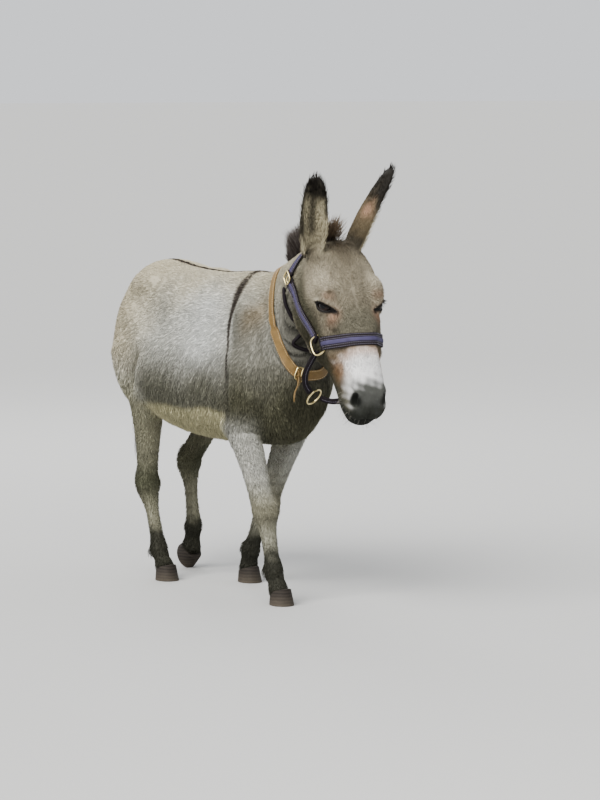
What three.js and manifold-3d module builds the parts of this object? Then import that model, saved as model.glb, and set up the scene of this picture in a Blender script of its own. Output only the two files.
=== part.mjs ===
// A life-size model of a miniature donkey, walking, in a halter and a collar.
// Millimetres, +Z up. The donkey faces -Y, its left side is +X, and the floor is z = 0.
import * as THREE from 'three';
import { mergeVertices } from 'three/addons/utils/BufferGeometryUtils.js';
import Module from 'manifold-3d';

const wasm = await Module();
wasm.setup();

// ---------------------------------------------------------------- driving dimensions
// The body is drawn with the withers above x = 0, y = 0, and moved at the end.
const GAP = 0.35;                 // clearance between two neighbouring pieces
const CUT_SIZE = 3000;            // a block larger than the donkey, used to cut with

// How finely each form is drawn: points round a section, sections along it
const TRUNK_SIDES = 22;
const TRUNK_RINGS = 18;
const NECK_SIDES = 18;
const NECK_RINGS = 10;
const LEG_SIDES = 12;
const LEG_RINGS = 17;
const HEAD_SIDES = 18;
const HEAD_RINGS = 16;
const EAR_RINGS = 9;
const EAR_ARC_STEPS = 4;
const TAIL_SIDES = 8;
const TAIL_RINGS = 10;
const MANE_SIDES = 8;
const CREST_STEPS = 40;

// Trunk sections from the breast to the buttocks:
// place along the back, top, widest height, bottom, half width, how much wider above than below
const TRUNK = [
  [-204, 630, 590, 546, 30, 0.0],
  [-194, 670, 590, 490, 56, 0.0],
  [-166, 728, 590, 446, 84, -0.04],
  [-115, 796, 590, 412, 110, -0.12],
  [-55, 838, 588, 401, 132, -0.18],
  [0, 854, 585, 398, 148, -0.18],
  [70, 853, 585, 397, 164, -0.14],
  [150, 848, 588, 396, 186, -0.1],
  [230, 849, 592, 402, 203, -0.06],
  [310, 854, 600, 416, 204, -0.03],
  [375, 864, 620, 442, 186, 0.0],
  [440, 869, 645, 476, 164, 0.04],
  [500, 853, 660, 512, 134, 0.04],
  [548, 818, 660, 552, 98, 0.0],
  [575, 765, 660, 588, 58, 0.0],
];

// Neck sections from the chest to the throat: crest point, underside point (y, z each), half width
const NECK = [
  [70, 832, -40, 470, 108],
  [0, 845, -140, 508, 92],
  [-50, 856, -190, 560, 80],
  [-100, 878, -203, 628, 78],
  [-155, 902, -200, 700, 78],
  [-215, 926, -214, 762, 73],
  [-300, 930, -262, 815, 60],
];
const NECK_LEAN = -8;             // the neck bends this far to the donkey's right at the poll
const NECK_KEEL = -0.22;          // it is narrower along the crest than along the throat

// The seams that part neck from trunk and legs from trunk
const NECK_SEAM = { crest: [-52, 858], breast: [-214, 612] };
const FORE_SEAM_HEIGHT = 448;
const HIND_SEAM_HEIGHT = 470;

// Head: poll, then turn, nod and tilt in degrees; its sections run from poll to lips
const HEAD = { poll: [-2, -325, 942], turn: 11.5, nod: 57, tilt: 0, jaw_square: 2.7 };
// distance from the poll, face line, widest height, jaw line, half width, wider above than below
const HEAD_SECTIONS = [
  [-24, -28, -50, -84, 44, 0.0],
  [0, -8, -50, -128, 68, 0.0],
  [48, 3, -50, -190, 88, 0.04],
  [98, 8, -50, -230, 94, 0.06],
  [150, 6, -56, -240, 88, 0.04],
  [200, 1, -62, -228, 82, 0.02],
  [250, -4, -70, -196, 75, 0.02],
  [305, -8, -72, -165, 62, 0.0],
  [358, -18, -78, -160, 57, -0.02],
  [402, -35, -86, -157, 56, -0.04],
  [434, -55, -95, -149, 47, -0.04],
  [453, -80, -104, -132, 28, 0.0],
];
const EYE = { along: 168, height: -31, out: 66.5, radius: 20, steps: 10 };
const BROW = { along: 148, height: -13, out: 73, size: [36, 20, 24] };
const NOSTRIL = { along: 414, height: -68, out: 35, size: [17, 11, 9] };

const EARS = {
  left: { base: [38, -318, 914], tip: [133, -370, 1125], opening: [1, -0.05, -0.2] },
  right: { base: [-65, -294, 904], tip: [-103, -363, 1106], opening: [-0.62, -0.78, -0.2] },
};
// share of the ear's length, half width, depth of the cup, degrees it wraps to each side
const EAR_SECTIONS = [
  [0, 24, 23, 140],
  [0.1, 28, 23, 128],
  [0.25, 33, 21, 112],
  [0.42, 36, 18, 98],
  [0.6, 34, 15, 92],
  [0.78, 30, 12, 88],
  [0.92, 23, 9, 86],
  [1, 12, 6, 84],
];
const EAR_BOW = 5;
const EAR_THICKNESS = 6;

// Joints of each leg (x, y, z), from the top of the limb to the middle of the coronet
const LEGS = {
  fore_left: {
    joints: [[94, -30, 560], [96, 8, 440], [75, 105, 222], [75, 172, 90], [78, 190, 36]],
    hoof: { toe: [78, 146, 0], turn: 2, lift: 0 },
  },
  fore_right: {
    joints: [[-100, -70, 560], [-95, -32, 446], [-86, -117, 240], [-84, -153, 92], [-82, -171, 36]],
    hoof: { toe: [-81, -218, 0], turn: -2, lift: 0 },
  },
  hind_left: {
    joints: [[110, 430, 640], [112, 345, 496], [95, 500, 298], [92, 472, 122], [90, 482, 57]],
    hoof: { toe: [90, 490, -2], turn: 2, lift: 62 },
  },
  hind_right: {
    joints: [[-110, 430, 640], [-114, 382, 500], [-90, 428, 256], [-86, 378, 84], [-88, 351, 36]],
    hoof: { toe: [-88, 304, 0], turn: -2, lift: 0 },
  },
};
// bone (0 is the one above the first joint), share along it, half width, reach to front, reach to back
const FORE_PROFILE = [
  [0, 0, 42, 62, 70],
  [0, 0.6, 46, 56, 66],
  [1, 0, 43, 48, 52],
  [1, 0.2, 39, 44, 42],
  [1, 0.5, 34, 38, 34],
  [1, 0.8, 34, 33, 31],
  [2, 0, 37, 38, 33],
  [2, 0.14, 33, 34, 32],
  [2, 0.35, 25, 23, 26],
  [2, 0.75, 21, 19, 24],
  [3, 0, 26, 25, 31],
  [3, 0.5, 24, 22, 25],
  [3, 1, 27, 28, 27],
  [3, 1.15, 22, 22, 22],
];
const HIND_PROFILE = [
  [0, 0, 60, 118, 90],
  [0, 0.6, 60, 98, 84],
  [1, 0, 52, 70, 74],
  [1, 0.3, 40, 33, 50],
  [1, 0.6, 31, 31, 38],
  [1, 0.85, 28, 32, 40],
  [2, 0, 33, 33, 42],
  [2, 0.2, 27, 26, 32],
  [2, 0.42, 20, 19, 23],
  [2, 0.78, 20, 18, 23],
  [3, 0, 25, 23, 29],
  [3, 0.5, 23, 21, 24],
  [3, 1, 27, 28, 26],
  [3, 1.15, 22, 22, 22],
];
// A hoof narrows towards the coronet and is a little wider in front than at the heels
const HOOF = {
  length: 80, width: 60, toe_height: 47, heel_height: 24, rows: 4,
  narrowing: 0.16, slope: 0.06, toe_spread: 0.12, heel_share: 0.86,
};

const TAIL = [
  [0, 548, 812, 20],
  [0, 572, 792, 21],
  [0, 584, 740, 19],
  [0, 588, 660, 17],
  [0, 588, 560, 16],
  [0, 588, 480, 22],
  [0, 587, 400, 28],
  [0, 585, 330, 24],
  [0, 583, 290, 8],
];

// Mane: where it starts and ends along the crest, and how it rises at the start
const MANE = {
  start: 0.57, end: 0.985, height: 68, root: 16, half_width: 12,
  first_height: 0.18, growth: 3.2, fore_height: 0.85,
};

// Collar: the seam line it follows, as crest and breast points (y, z)
const COLLAR = { crest: [-86, 868], breast: [-228, 546], width: 26, thickness: 5 };

const COLLAR_BUCKLE = {
  centre: [-48, -217, 569], along: [0.6, -0.2, -1], facing: [-0.42, -0.9, 0.1], size: 34, wire: 4,
};
const COLLAR_END = {
  top: [-62, -232, 578], bottom: [-76, -232, 530], facing: [0.8, -0.6, 0.1], width: 22, thickness: 4,
};

// Halter, in the head's own measures: [along the nose, height over the nose line, across]
const HALTER = {
  thickness: 6,
  buckle: [26, -136],
  crown_top: [-92, 12],
  side_ring: [238, -107],
  nose_top: [282, 30],
  strap_width: 26,
  noseband_width: 36,
};
// Throat strap: thin and rolled, from buckle to buckle behind the jaw. The places it passes on each
// side, and its lowest point under the throat.
const THROAT = {
  side: [[38, -160], [74, -178], [108, -198], [138, -219], [162, -236]], low: [184, -246],
  radius: 4.5, proud: 6, steps: 18, sides: 6,
};
const SIDE_RING = { size: 42, wire: 5, proud: 7 };
const BUCKLE = { size: 32, wire: 4, proud: 9 };
const CHIN_RING = {
  radius: 23, wire: 2.6, centre: [-28, -252, 542], across: [0.63, -0.35, 0.7],
  facing: [0.24, -0.77, -0.59], steps: 14, sides: 6,
};
// The rolled chin strap: its radius and the points its two runs sag through
const CHIN_STRAP = {
  radius: 7.5, steps: 10, sides: 7, drop: 9,
  right: { sag: [[-86, -298, 614], [-71, -274, 581]], end: [-26, -16, 18] },
  left: { sag: [[84, -352, 600], [34, -326, 546], [-2, -303, 533]], end: [18, -8, -6] },
};
const REACH = 150;                // farther out than any point of the head

// ---------------------------------------------------------------- small helpers
const vec = (values) => new THREE.Vector3(...values);
const mix = (a, b, share) => a + (b - a) * share;

// Catmull-Rom through the rows of a table, each column on its own, resampled to `count` rows.
function smoothRows(rows, count) {
  const result = [];
  for (let i = 0; i < count; i += 1) {
    const place = (i / (count - 1)) * (rows.length - 1);
    const at = Math.min(Math.floor(place), rows.length - 2);
    const t = place - at;
    const row = rows[at].map((value, column) => {
      const p1 = value;
      const p2 = rows[at + 1][column];
      const p0 = at > 0 ? rows[at - 1][column] : p1 * 2 - p2;
      const p3 = at + 2 < rows.length ? rows[at + 2][column] : p2 * 2 - p1;
      const slope1 = (p2 - p0) / 2;
      const slope2 = (p3 - p1) / 2;
      return (2 * t ** 3 - 3 * t ** 2 + 1) * p1 + (t ** 3 - 2 * t ** 2 + t) * slope1
        + (3 * t ** 2 - 2 * t ** 3) * p2 + (t ** 3 - t ** 2) * slope2;
    });
    result.push(row);
  }
  return result;
}

// A closed solid from rings of points; each ring has the same number of points.
function skinRings(rings) {
  const sides = rings[0].length;
  const points = rings.flat();
  const triangles = [];
  for (let row = 0; row + 1 < rings.length; row += 1) {
    for (let side = 0; side < sides; side += 1) {
      const next = (side + 1) % sides;
      const a = row * sides + side;
      const b = row * sides + next;
      triangles.push([a, b, a + sides], [b, b + sides, a + sides]);
    }
  }
  const caps = [[rings[0], 0], [rings[rings.length - 1], (rings.length - 1) * sides]];
  caps.forEach(([ring, first], end) => {
    const centre = ring.reduce((sum, p) => sum.add(p), new THREE.Vector3()).divideScalar(sides);
    points.push(centre);
    const middle = points.length - 1;
    for (let side = 0; side < sides; side += 1) {
      const a = first + side;
      const b = first + ((side + 1) % sides);
      triangles.push(end === 0 ? [middle, b, a] : [middle, a, b]);
    }
  });
  return solidFrom(points, triangles);
}

function signedVolume(points, triangles) {
  let volume = 0;
  for (const [a, b, c] of triangles) {
    volume += points[a].dot(new THREE.Vector3().crossVectors(points[b], points[c])) / 6;
  }
  return volume;
}

function solidFrom(points, triangles) {
  const flip = signedVolume(points, triangles) < 0;
  const triVerts = new Uint32Array(triangles.flatMap(([a, b, c]) => (flip ? [a, c, b] : [a, b, c])));
  const vertProperties = new Float32Array(points.flatMap((p) => [p.x, p.y, p.z]));
  return new wasm.Manifold(new wasm.Mesh({ numProp: 3, vertProperties, triVerts }));
}

function solidFromGeometry(geometry) {
  geometry.deleteAttribute('normal');
  geometry.deleteAttribute('uv');
  const merged = mergeVertices(geometry);
  const position = merged.getAttribute('position');
  const points = [];
  for (let i = 0; i < position.count; i += 1) {
    points.push(new THREE.Vector3().fromBufferAttribute(position, i));
  }
  const index = Array.from(merged.index.array);
  const triangles = [];
  for (let i = 0; i < index.length; i += 3) {
    triangles.push(index.slice(i, i + 3));
  }
  return solidFrom(points, triangles);
}

function geometryOf(solid) {
  const mesh = solid.getMesh();
  const geometry = new THREE.BufferGeometry();
  geometry.setAttribute('position', new THREE.BufferAttribute(new Float32Array(mesh.vertProperties), 3));
  geometry.setIndex(new THREE.BufferAttribute(new Uint32Array(mesh.triVerts), 1));
  return geometry;
}

const joined = (solids) => solids.reduce((sum, solid) => sum.add(solid));
const cutBy = (solid, cutters) => cutters.reduce((rest, cutter) => rest.subtract(cutter), solid);

// One section ring: a rounded shape `half` wide each side, `rise` up and `drop` down,
// wider above than below by `keel`; `square` above 2 gives fuller corners, `low` those below.
function ringPoints(centre, across, up, { half, rise, drop, keel = 0, square, low = square }, sides) {
  const ring = [];
  for (let side = 0; side < sides; side += 1) {
    const angle = (side / sides) * Math.PI * 2;
    const power = 2 / (angle > Math.PI ? low : square);
    const c = Math.sign(Math.cos(angle)) * Math.abs(Math.cos(angle)) ** power;
    const s = Math.sign(Math.sin(angle)) * Math.abs(Math.sin(angle)) ** power;
    const out = half * c * (1 + keel * s);
    const high = s > 0 ? rise * s : drop * s;
    ring.push(centre.clone().addScaledVector(across, out).addScaledVector(up, high));
  }
  return ring;
}

// A block from `from` to `to`, `width` across the run and `reach` deep along `facing` both ways.
function blockAlong(from, to, facing, width, reach) {
  const run = new THREE.Vector3().subVectors(to, from);
  const along = run.clone().normalize();
  const side = new THREE.Vector3().crossVectors(along, facing).normalize();
  const out = new THREE.Vector3().crossVectors(side, along);
  const geometry = new THREE.BoxGeometry(run.length(), width, reach * 2);
  const place = new THREE.Matrix4().makeBasis(along, side, out);
  place.setPosition(new THREE.Vector3().addVectors(from, to).multiplyScalar(0.5));
  geometry.applyMatrix4(place);
  return solidFromGeometry(geometry);
}

// Everything on the side of a plane that `normal` points to.
function halfSpace(point, normal) {
  const far = point.clone().addScaledVector(normal, CUT_SIZE);
  const facing = Math.abs(normal.x) < 0.9 ? new THREE.Vector3(1, 0, 0) : new THREE.Vector3(0, 1, 0);
  return blockAlong(point, far, facing, CUT_SIZE * 2, CUT_SIZE);
}

// ---------------------------------------------------------------- body forms
const ACROSS = new THREE.Vector3(1, 0, 0);
const UP = new THREE.Vector3(0, 0, 1);

function trunkForm(grow = 0) {
  const rows = smoothRows(TRUNK, TRUNK_RINGS);
  rows[0][0] -= grow;
  rows[rows.length - 1][0] += grow;
  const rings = rows.map(([y, top, middle, bottom, half, keel]) => ringPoints(
    new THREE.Vector3(0, y, middle), ACROSS, UP,
    { half: half + grow, rise: top - middle + grow, drop: middle - bottom + grow, keel, square: 2.15 },
    TRUNK_SIDES,
  ));
  return skinRings(rings);
}

function neckForm(grow = 0) {
  const rows = smoothRows(NECK, NECK_RINGS);
  const rings = rows.map(([crestY, crestZ, underY, underZ, half], i) => {
    const lean = NECK_LEAN * (i / (rows.length - 1));
    const crest = new THREE.Vector3(lean, crestY, crestZ);
    const under = new THREE.Vector3(lean, underY, underZ);
    const up = new THREE.Vector3().subVectors(crest, under);
    const depth = up.length() / 2;
    const centre = new THREE.Vector3().addVectors(crest, under).multiplyScalar(0.5);
    up.normalize();
    return ringPoints(centre, ACROSS, up, {
      half: half + grow, rise: depth + grow, drop: depth + grow, keel: NECK_KEEL, square: 2,
    }, NECK_SIDES);
  });
  return skinRings(rings);
}

// The head's own axes: `along` the nose, `out` of the face, `across` to the donkey's left.
const headAxes = (() => {
  const turn = THREE.MathUtils.degToRad(HEAD.turn);
  const nod = THREE.MathUtils.degToRad(HEAD.nod);
  const tilt = THREE.MathUtils.degToRad(HEAD.tilt);
  const forward = new THREE.Vector3(-Math.sin(turn), -Math.cos(turn), 0);
  const left = new THREE.Vector3(Math.cos(turn), -Math.sin(turn), 0);
  const along = forward.clone().multiplyScalar(Math.cos(nod)).addScaledVector(UP, -Math.sin(nod));
  const out = forward.clone().multiplyScalar(Math.sin(nod)).addScaledVector(UP, Math.cos(nod));
  const across = left.clone().multiplyScalar(Math.cos(tilt)).addScaledVector(out, Math.sin(tilt));
  out.multiplyScalar(Math.cos(tilt)).addScaledVector(left, -Math.sin(tilt));
  return { along, out, across };
})();

function onHead(along, height, across) {
  return vec(HEAD.poll).addScaledVector(headAxes.along, along)
    .addScaledVector(headAxes.out, height).addScaledVector(headAxes.across, across);
}

// A ball in the head's own axes: size is along the nose, out of the face, across.
function headBall(along, height, across, size, grow = 0, steps = 8) {
  const geometry = new THREE.SphereGeometry(1, steps, Math.round(steps * 0.7));
  const [a, b, c] = size.map((value) => value + grow);
  const place = new THREE.Matrix4().makeBasis(
    headAxes.along.clone().multiplyScalar(a),
    headAxes.out.clone().multiplyScalar(b),
    headAxes.across.clone().multiplyScalar(c),
  );
  place.setPosition(onHead(along, height, across));
  geometry.applyMatrix4(place);
  return solidFromGeometry(geometry);
}

function headForm(grow = 0) {
  const rows = smoothRows(HEAD_SECTIONS, HEAD_RINGS);
  rows[0][0] -= grow;
  rows[rows.length - 1][0] += grow;
  const rings = rows.map(([along, face, middle, jaw, half, keel]) => ringPoints(
    onHead(along, middle, 0), headAxes.across, headAxes.out,
    {
      half: half + grow, rise: face - middle + grow, drop: middle - jaw + grow,
      keel, square: 2.3, low: HEAD.jaw_square,
    },
    HEAD_SIDES,
  ));
  const brows = [-1, 1].map((side) => headBall(BROW.along, BROW.height, side * BROW.out, BROW.size, grow));
  return joined([skinRings(rings), ...brows]);
}

// Centre line and sizes of one leg, from the profile of its kind.
function legStations(joints, profile) {
  return profile.map(([bone, share, half, front, back]) => {
    const a = joints[bone];
    const b = joints[Math.min(bone + 1, joints.length - 1)];
    return [mix(a[0], b[0], share), mix(a[1], b[1], share), mix(a[2], b[2], share), half, front, back];
  });
}

function legForm(joints, profile, grow = 0) {
  const rows = smoothRows(legStations(joints, profile), LEG_RINGS);
  const centres = rows.map(([x, y, z]) => new THREE.Vector3(x, y, z));
  const rings = rows.map(([, , , half, front, back], i) => {
    const before = centres[Math.max(i - 1, 0)];
    const after = centres[Math.min(i + 1, centres.length - 1)];
    const down = new THREE.Vector3().subVectors(after, before).normalize();
    const ahead = new THREE.Vector3().crossVectors(down, ACROSS).normalize();
    const across = new THREE.Vector3().crossVectors(ahead, down).normalize();
    return ringPoints(centres[i], across, ahead, {
      half: half + grow, rise: front + grow, drop: back + grow, square: 2.1,
    }, LEG_SIDES);
  });
  return skinRings(rings);
}

// One hoof: an outline that narrows from sole to coronet, its toe at `toe` on the floor.
// `lift` turns it about the toe, heel up.
function hoofForm({ toe, turn, lift }, grow = 0) {
  const rings = [];
  const halfWidth = HOOF.width / 2 + grow;
  const halfLength = HOOF.length / 2;
  for (let row = 0; row < HOOF.rows; row += 1) {
    const share = row / (HOOF.rows - 1);
    const narrow = 1 - HOOF.narrowing * share;
    const ring = [];
    for (let side = 0; side < LEG_SIDES; side += 1) {
      const angle = (side / LEG_SIDES) * Math.PI * 2;
      const rear = Math.sin(angle);
      const x = Math.cos(angle) * halfWidth * narrow * (1 - HOOF.toe_spread * rear);
      const reach = rear > 0 ? HOOF.heel_share : 1;
      const y = HOOF.length * (0.5 + HOOF.slope * share) + rear * halfLength * narrow * reach;
      const top = mix(HOOF.toe_height, HOOF.heel_height, y / HOOF.length) + grow;
      ring.push(new THREE.Vector3(x, y, row === 0 ? -grow : share * top));
    }
    rings.push(ring);
  }
  const place = new THREE.Matrix4().makeTranslation(...toe)
    .multiply(new THREE.Matrix4().makeRotationZ(THREE.MathUtils.degToRad(turn)))
    .multiply(new THREE.Matrix4().makeRotationX(THREE.MathUtils.degToRad(lift)));
  return skinRings(rings.map((ring) => ring.map((point) => point.applyMatrix4(place))));
}

// An ear: a curved blade wrapped into a cup that opens towards `opening`.
function earForm({ base, tip, opening }) {
  const root = vec(base);
  const axis = new THREE.Vector3().subVectors(vec(tip), root);
  const length = axis.length();
  axis.normalize();
  const front = vec(opening);
  front.addScaledVector(axis, -front.dot(axis)).normalize();
  const side = new THREE.Vector3().crossVectors(axis, front);
  const rings = smoothRows(EAR_SECTIONS, EAR_RINGS).map(([share, half, depth, wrap]) => {
    const bow = Math.sin(share * Math.PI) * EAR_BOW;
    const centre = root.clone().addScaledVector(axis, share * length).addScaledVector(front, -bow);
    const thick = Math.min(EAR_THICKNESS, depth * 0.55, half * 0.55);
    const arc = (inset, direction) => {
      const points = [];
      for (let step = 0; step <= EAR_ARC_STEPS; step += 1) {
        const angle = THREE.MathUtils.degToRad(wrap) * direction * ((2 * step) / EAR_ARC_STEPS - 1);
        points.push(centre.clone()
          .addScaledVector(side, Math.sin(angle) * (half - inset))
          .addScaledVector(front, -Math.cos(angle) * (depth - inset)));
      }
      return points;
    };
    return [...arc(0, 1), ...arc(thick, -1)];
  });
  return skinRings(rings);
}

function tailForm() {
  const rows = smoothRows(TAIL, TAIL_RINGS);
  const rings = rows.map(([x, y, z, radius], i) => {
    const before = vec(rows[Math.max(i - 1, 0)]);
    const after = vec(rows[Math.min(i + 1, rows.length - 1)]);
    const down = new THREE.Vector3().subVectors(after, before).normalize();
    const ahead = new THREE.Vector3().crossVectors(down, ACROSS).normalize();
    return ringPoints(new THREE.Vector3(x, y, z), ACROSS, ahead, {
      half: radius, rise: radius, drop: radius, square: 2,
    }, TAIL_SIDES);
  });
  return skinRings(rings);
}

// The upright mane: a thin ridge that stands on the crest of the neck.
function maneForm() {
  const crest = smoothRows(NECK, CREST_STEPS + 1);
  const first = Math.round(MANE.start * CREST_STEPS);
  const last = Math.round(MANE.end * CREST_STEPS);
  const rings = [];
  for (let i = first; i <= last; i += 2) {
    const [y, z] = crest[i];
    const [yNext, zNext] = crest[Math.min(i + 1, CREST_STEPS)];
    const [yBack, zBack] = crest[i - 1];
    const up = new THREE.Vector3(0, zNext - zBack, yBack - yNext).normalize();
    const share = (i - first) / (last - first);
    const swell = Math.min(1, MANE.first_height + share * MANE.growth) * mix(1, MANE.fore_height, share);
    rings.push(ringPoints(new THREE.Vector3(NECK_LEAN * (i / CREST_STEPS), y, z), ACROSS, up, {
      half: MANE.half_width, rise: MANE.height * swell, drop: MANE.root, square: 2,
    }, MANE_SIDES));
  }
  return skinRings(rings);
}

// ---------------------------------------------------------------- gear forms
// The space between two offsets of head and neck, where the straps lie.
const headAndNeck = (grow) => headForm(grow).add(neckForm(grow));
const skinShell = (thickness) => headAndNeck(thickness).subtract(headAndNeck(GAP));

// A block that follows a line on the side of the head, given as [along, height] at both ends.
function headBlock(from, to, width, acrossFrom, acrossTo) {
  const middle = (acrossFrom + acrossTo) / 2;
  return blockAlong(
    onHead(from[0], from[1], middle), onHead(to[0], to[1], middle),
    headAxes.across, width, Math.abs(acrossTo - acrossFrom) / 2,
  );
}

// A square metal frame with a square hole: its sides run along `along`, it faces `facing`.
function frameForm(centre, along, facing, { size, wire }, grow = 0) {
  const outline = (path, reach) => {
    const corner = reach * 0.3;
    path.moveTo(-reach + corner, -reach);
    path.lineTo(reach - corner, -reach);
    path.lineTo(reach, -reach + corner);
    path.lineTo(reach, reach - corner);
    path.lineTo(reach - corner, reach);
    path.lineTo(-reach + corner, reach);
    path.lineTo(-reach, reach - corner);
    path.lineTo(-reach, -reach + corner);
    path.closePath();
    return path;
  };
  const shape = outline(new THREE.Shape(), size / 2 + grow);
  shape.holes.push(outline(new THREE.Path(), size / 2 - wire - grow));
  const depth = wire + 2 * grow;
  const geometry = new THREE.ExtrudeGeometry(shape, { depth, bevelEnabled: false });
  geometry.translate(0, 0, -depth / 2);
  const out = facing.clone().normalize();
  const side = new THREE.Vector3().crossVectors(out, along).normalize();
  const run = new THREE.Vector3().crossVectors(side, out);
  const place = new THREE.Matrix4().makeBasis(run, side, out);
  place.setPosition(centre);
  geometry.applyMatrix4(place);
  return solidFromGeometry(geometry);
}

// A round strap or wire along a smooth line through points.
function roundAlong(points, radius, steps, sides) {
  const path = new THREE.CatmullRomCurve3(points);
  const section = new THREE.Shape();
  for (let side = 0; side < sides; side += 1) {
    const angle = (side / sides) * Math.PI * 2;
    const method = side === 0 ? 'moveTo' : 'lineTo';
    section[method](Math.cos(angle) * radius, Math.sin(angle) * radius);
  }
  section.closePath();
  const geometry = new THREE.ExtrudeGeometry(section, { steps, extrudePath: path, bevelEnabled: false });
  return solidFromGeometry(geometry);
}

// ---------------------------------------------------------------- colours and finishes
const FINISHES = {
  coat: { color: 0xa3968a, roughness: 0.95, metalness: 0 },
  dark_hair: { color: 0x3a322e, roughness: 0.95, metalness: 0 },
  hoof: { color: 0x3a3532, roughness: 0.6, metalness: 0 },
  eye: { color: 0x1c120c, roughness: 0.1, metalness: 0 },
  halter: { color: 0x2e211d, roughness: 0.55, metalness: 0 },
  collar: { color: 0x9a6a3f, roughness: 0.6, metalness: 0 },
  brass: { color: 0xc7a566, roughness: 0.3, metalness: 1 },
};

const model = new THREE.Group();

function place(name, solid, finish) {
  const mesh = new THREE.Mesh(geometryOf(solid), new THREE.MeshStandardMaterial(FINISHES[finish]));
  mesh.name = name;
  model.add(mesh);
}

// ---------------------------------------------------------------- seams
function seamPlane(y1, z1, y2, z2, shift) {
  const run = new THREE.Vector3(0, y2 - y1, z2 - z1).normalize();
  const ahead = new THREE.Vector3(0, run.z, -run.y);
  if (ahead.y > 0) {
    ahead.negate();
  }
  const point = new THREE.Vector3(0, y1, z1).addScaledVector(ahead, shift);
  return halfSpace(point, ahead);
}

const inFrontOfNeckSeam = (shift) => seamPlane(...NECK_SEAM.crest, ...NECK_SEAM.breast, shift);
const below = (height) => halfSpace(new THREE.Vector3(0, 0, height), new THREE.Vector3(0, 0, -1));
const underFloor = below(0);

// ---------------------------------------------------------------- assembly
const hooves = {};
const upperLegs = [];
const legSpaces = [];
for (const [name, { joints, hoof }] of Object.entries(LEGS)) {
  const isFore = name.startsWith('fore');
  const profile = isFore ? FORE_PROFILE : HIND_PROFILE;
  const seam = isFore ? FORE_SEAM_HEIGHT : HIND_SEAM_HEIGHT;
  const whole = legForm(joints, profile);
  hooves[name] = hoofForm(hoof).subtract(underFloor);
  const lower = whole.intersect(below(seam)).subtract(hoofForm(hoof, GAP));
  place(`leg_${name}`, lower, 'coat');
  place(`hoof_${name}`, hooves[name], 'hoof');
  upperLegs.push(whole.subtract(below(seam)));
  legSpaces.push(legForm(joints, profile, GAP).intersect(below(seam + GAP)));
}

const whole = joined([trunkForm(), neckForm(), ...upperLegs]);
const headSpace = headForm(GAP);
const body = cutBy(whole, legSpaces);
const trunk = body.subtract(inFrontOfNeckSeam(-GAP));
const neck = body.intersect(inFrontOfNeckSeam(0)).subtract(headSpace);
place('trunk', trunk, 'coat');
place('neck', neck, 'coat');
place('tail', tailForm().subtract(trunkForm()), 'coat');

const eyeSize = [EYE.radius, EYE.radius, EYE.radius];
const eyeBall = (side, grow) => headBall(EYE.along, EYE.height, side * EYE.out, eyeSize, grow, EYE.steps);
const hollows = [-1, 1].flatMap((side) => [
  eyeBall(side, GAP),
  headBall(NOSTRIL.along, NOSTRIL.height, side * NOSTRIL.out, NOSTRIL.size),
]);
place('head', cutBy(headForm(), hollows), 'coat');
place('eye_right', eyeBall(-1, 0), 'eye');
place('eye_left', eyeBall(1, 0), 'eye');
const earSpace = headAndNeck(2 * GAP);
for (const [side, ear] of Object.entries(EARS)) {
  place(`ear_${side}`, earForm(ear).subtract(earSpace), 'coat');
}

// ---------------------------------------------------------------- collar
const collarRun = seamPlane(...COLLAR.crest, ...COLLAR.breast, -COLLAR.width / 2)
  .subtract(seamPlane(...COLLAR.crest, ...COLLAR.breast, COLLAR.width / 2));
const forelegs = [LEGS.fore_left, LEGS.fore_right];
const collarForm = (thickness) => joined([
  trunkForm(thickness), neckForm(thickness),
  ...forelegs.map(({ joints }) => legForm(joints, FORE_PROFILE, thickness)),
]);
const bodySpace = collarForm(GAP);
const collarBuckle = (grow) => frameForm(
  vec(COLLAR_BUCKLE.centre), vec(COLLAR_BUCKLE.along), vec(COLLAR_BUCKLE.facing), COLLAR_BUCKLE, grow,
);
const collarBand = collarForm(COLLAR.thickness).subtract(bodySpace).intersect(collarRun);
const collarEnd = blockAlong(
  vec(COLLAR_END.top), vec(COLLAR_END.bottom), vec(COLLAR_END.facing), COLLAR_END.width,
  COLLAR_END.thickness / 2,
);
place('collar_strap', collarBand.subtract(collarBuckle(GAP)), 'collar');
place('collar_buckle', collarBuckle(0).subtract(bodySpace), 'brass');
place('collar_end', cutBy(collarEnd, [collarForm(COLLAR.thickness + GAP), collarBuckle(GAP)]), 'collar');

// ---------------------------------------------------------------- halter
const shell = skinShell(HALTER.thickness);

// The line between two points on the side of the head, shortened at both ends.
function shortened(from, to, start, end) {
  const length = Math.hypot(to[0] - from[0], to[1] - from[1]);
  const at = (distance) => [0, 1].map((i) => mix(from[i], to[i], distance / length));
  return [at(start), at(length - end)];
}

function halterBand(from, to, width, acrossFrom = -REACH, acrossTo = REACH) {
  return shell.intersect(headBlock(from, to, width, acrossFrom, acrossTo));
}

// How far out from the middle plane the head or neck reaches at one point of its side.
function outermost(along, height, sign) {
  const probe = headAndNeck(0)
    .intersect(headBlock([along - 2, height], [along + 2, height], 4, 0, sign * REACH));
  if (probe.isEmpty()) {
    return 0;
  }
  const { min, max } = probe.boundingBox();
  const edge = sign > 0 ? max[0] : min[0];
  return Math.abs(edge - onHead(along, height, 0).x) / headAxes.across.x;
}

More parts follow.
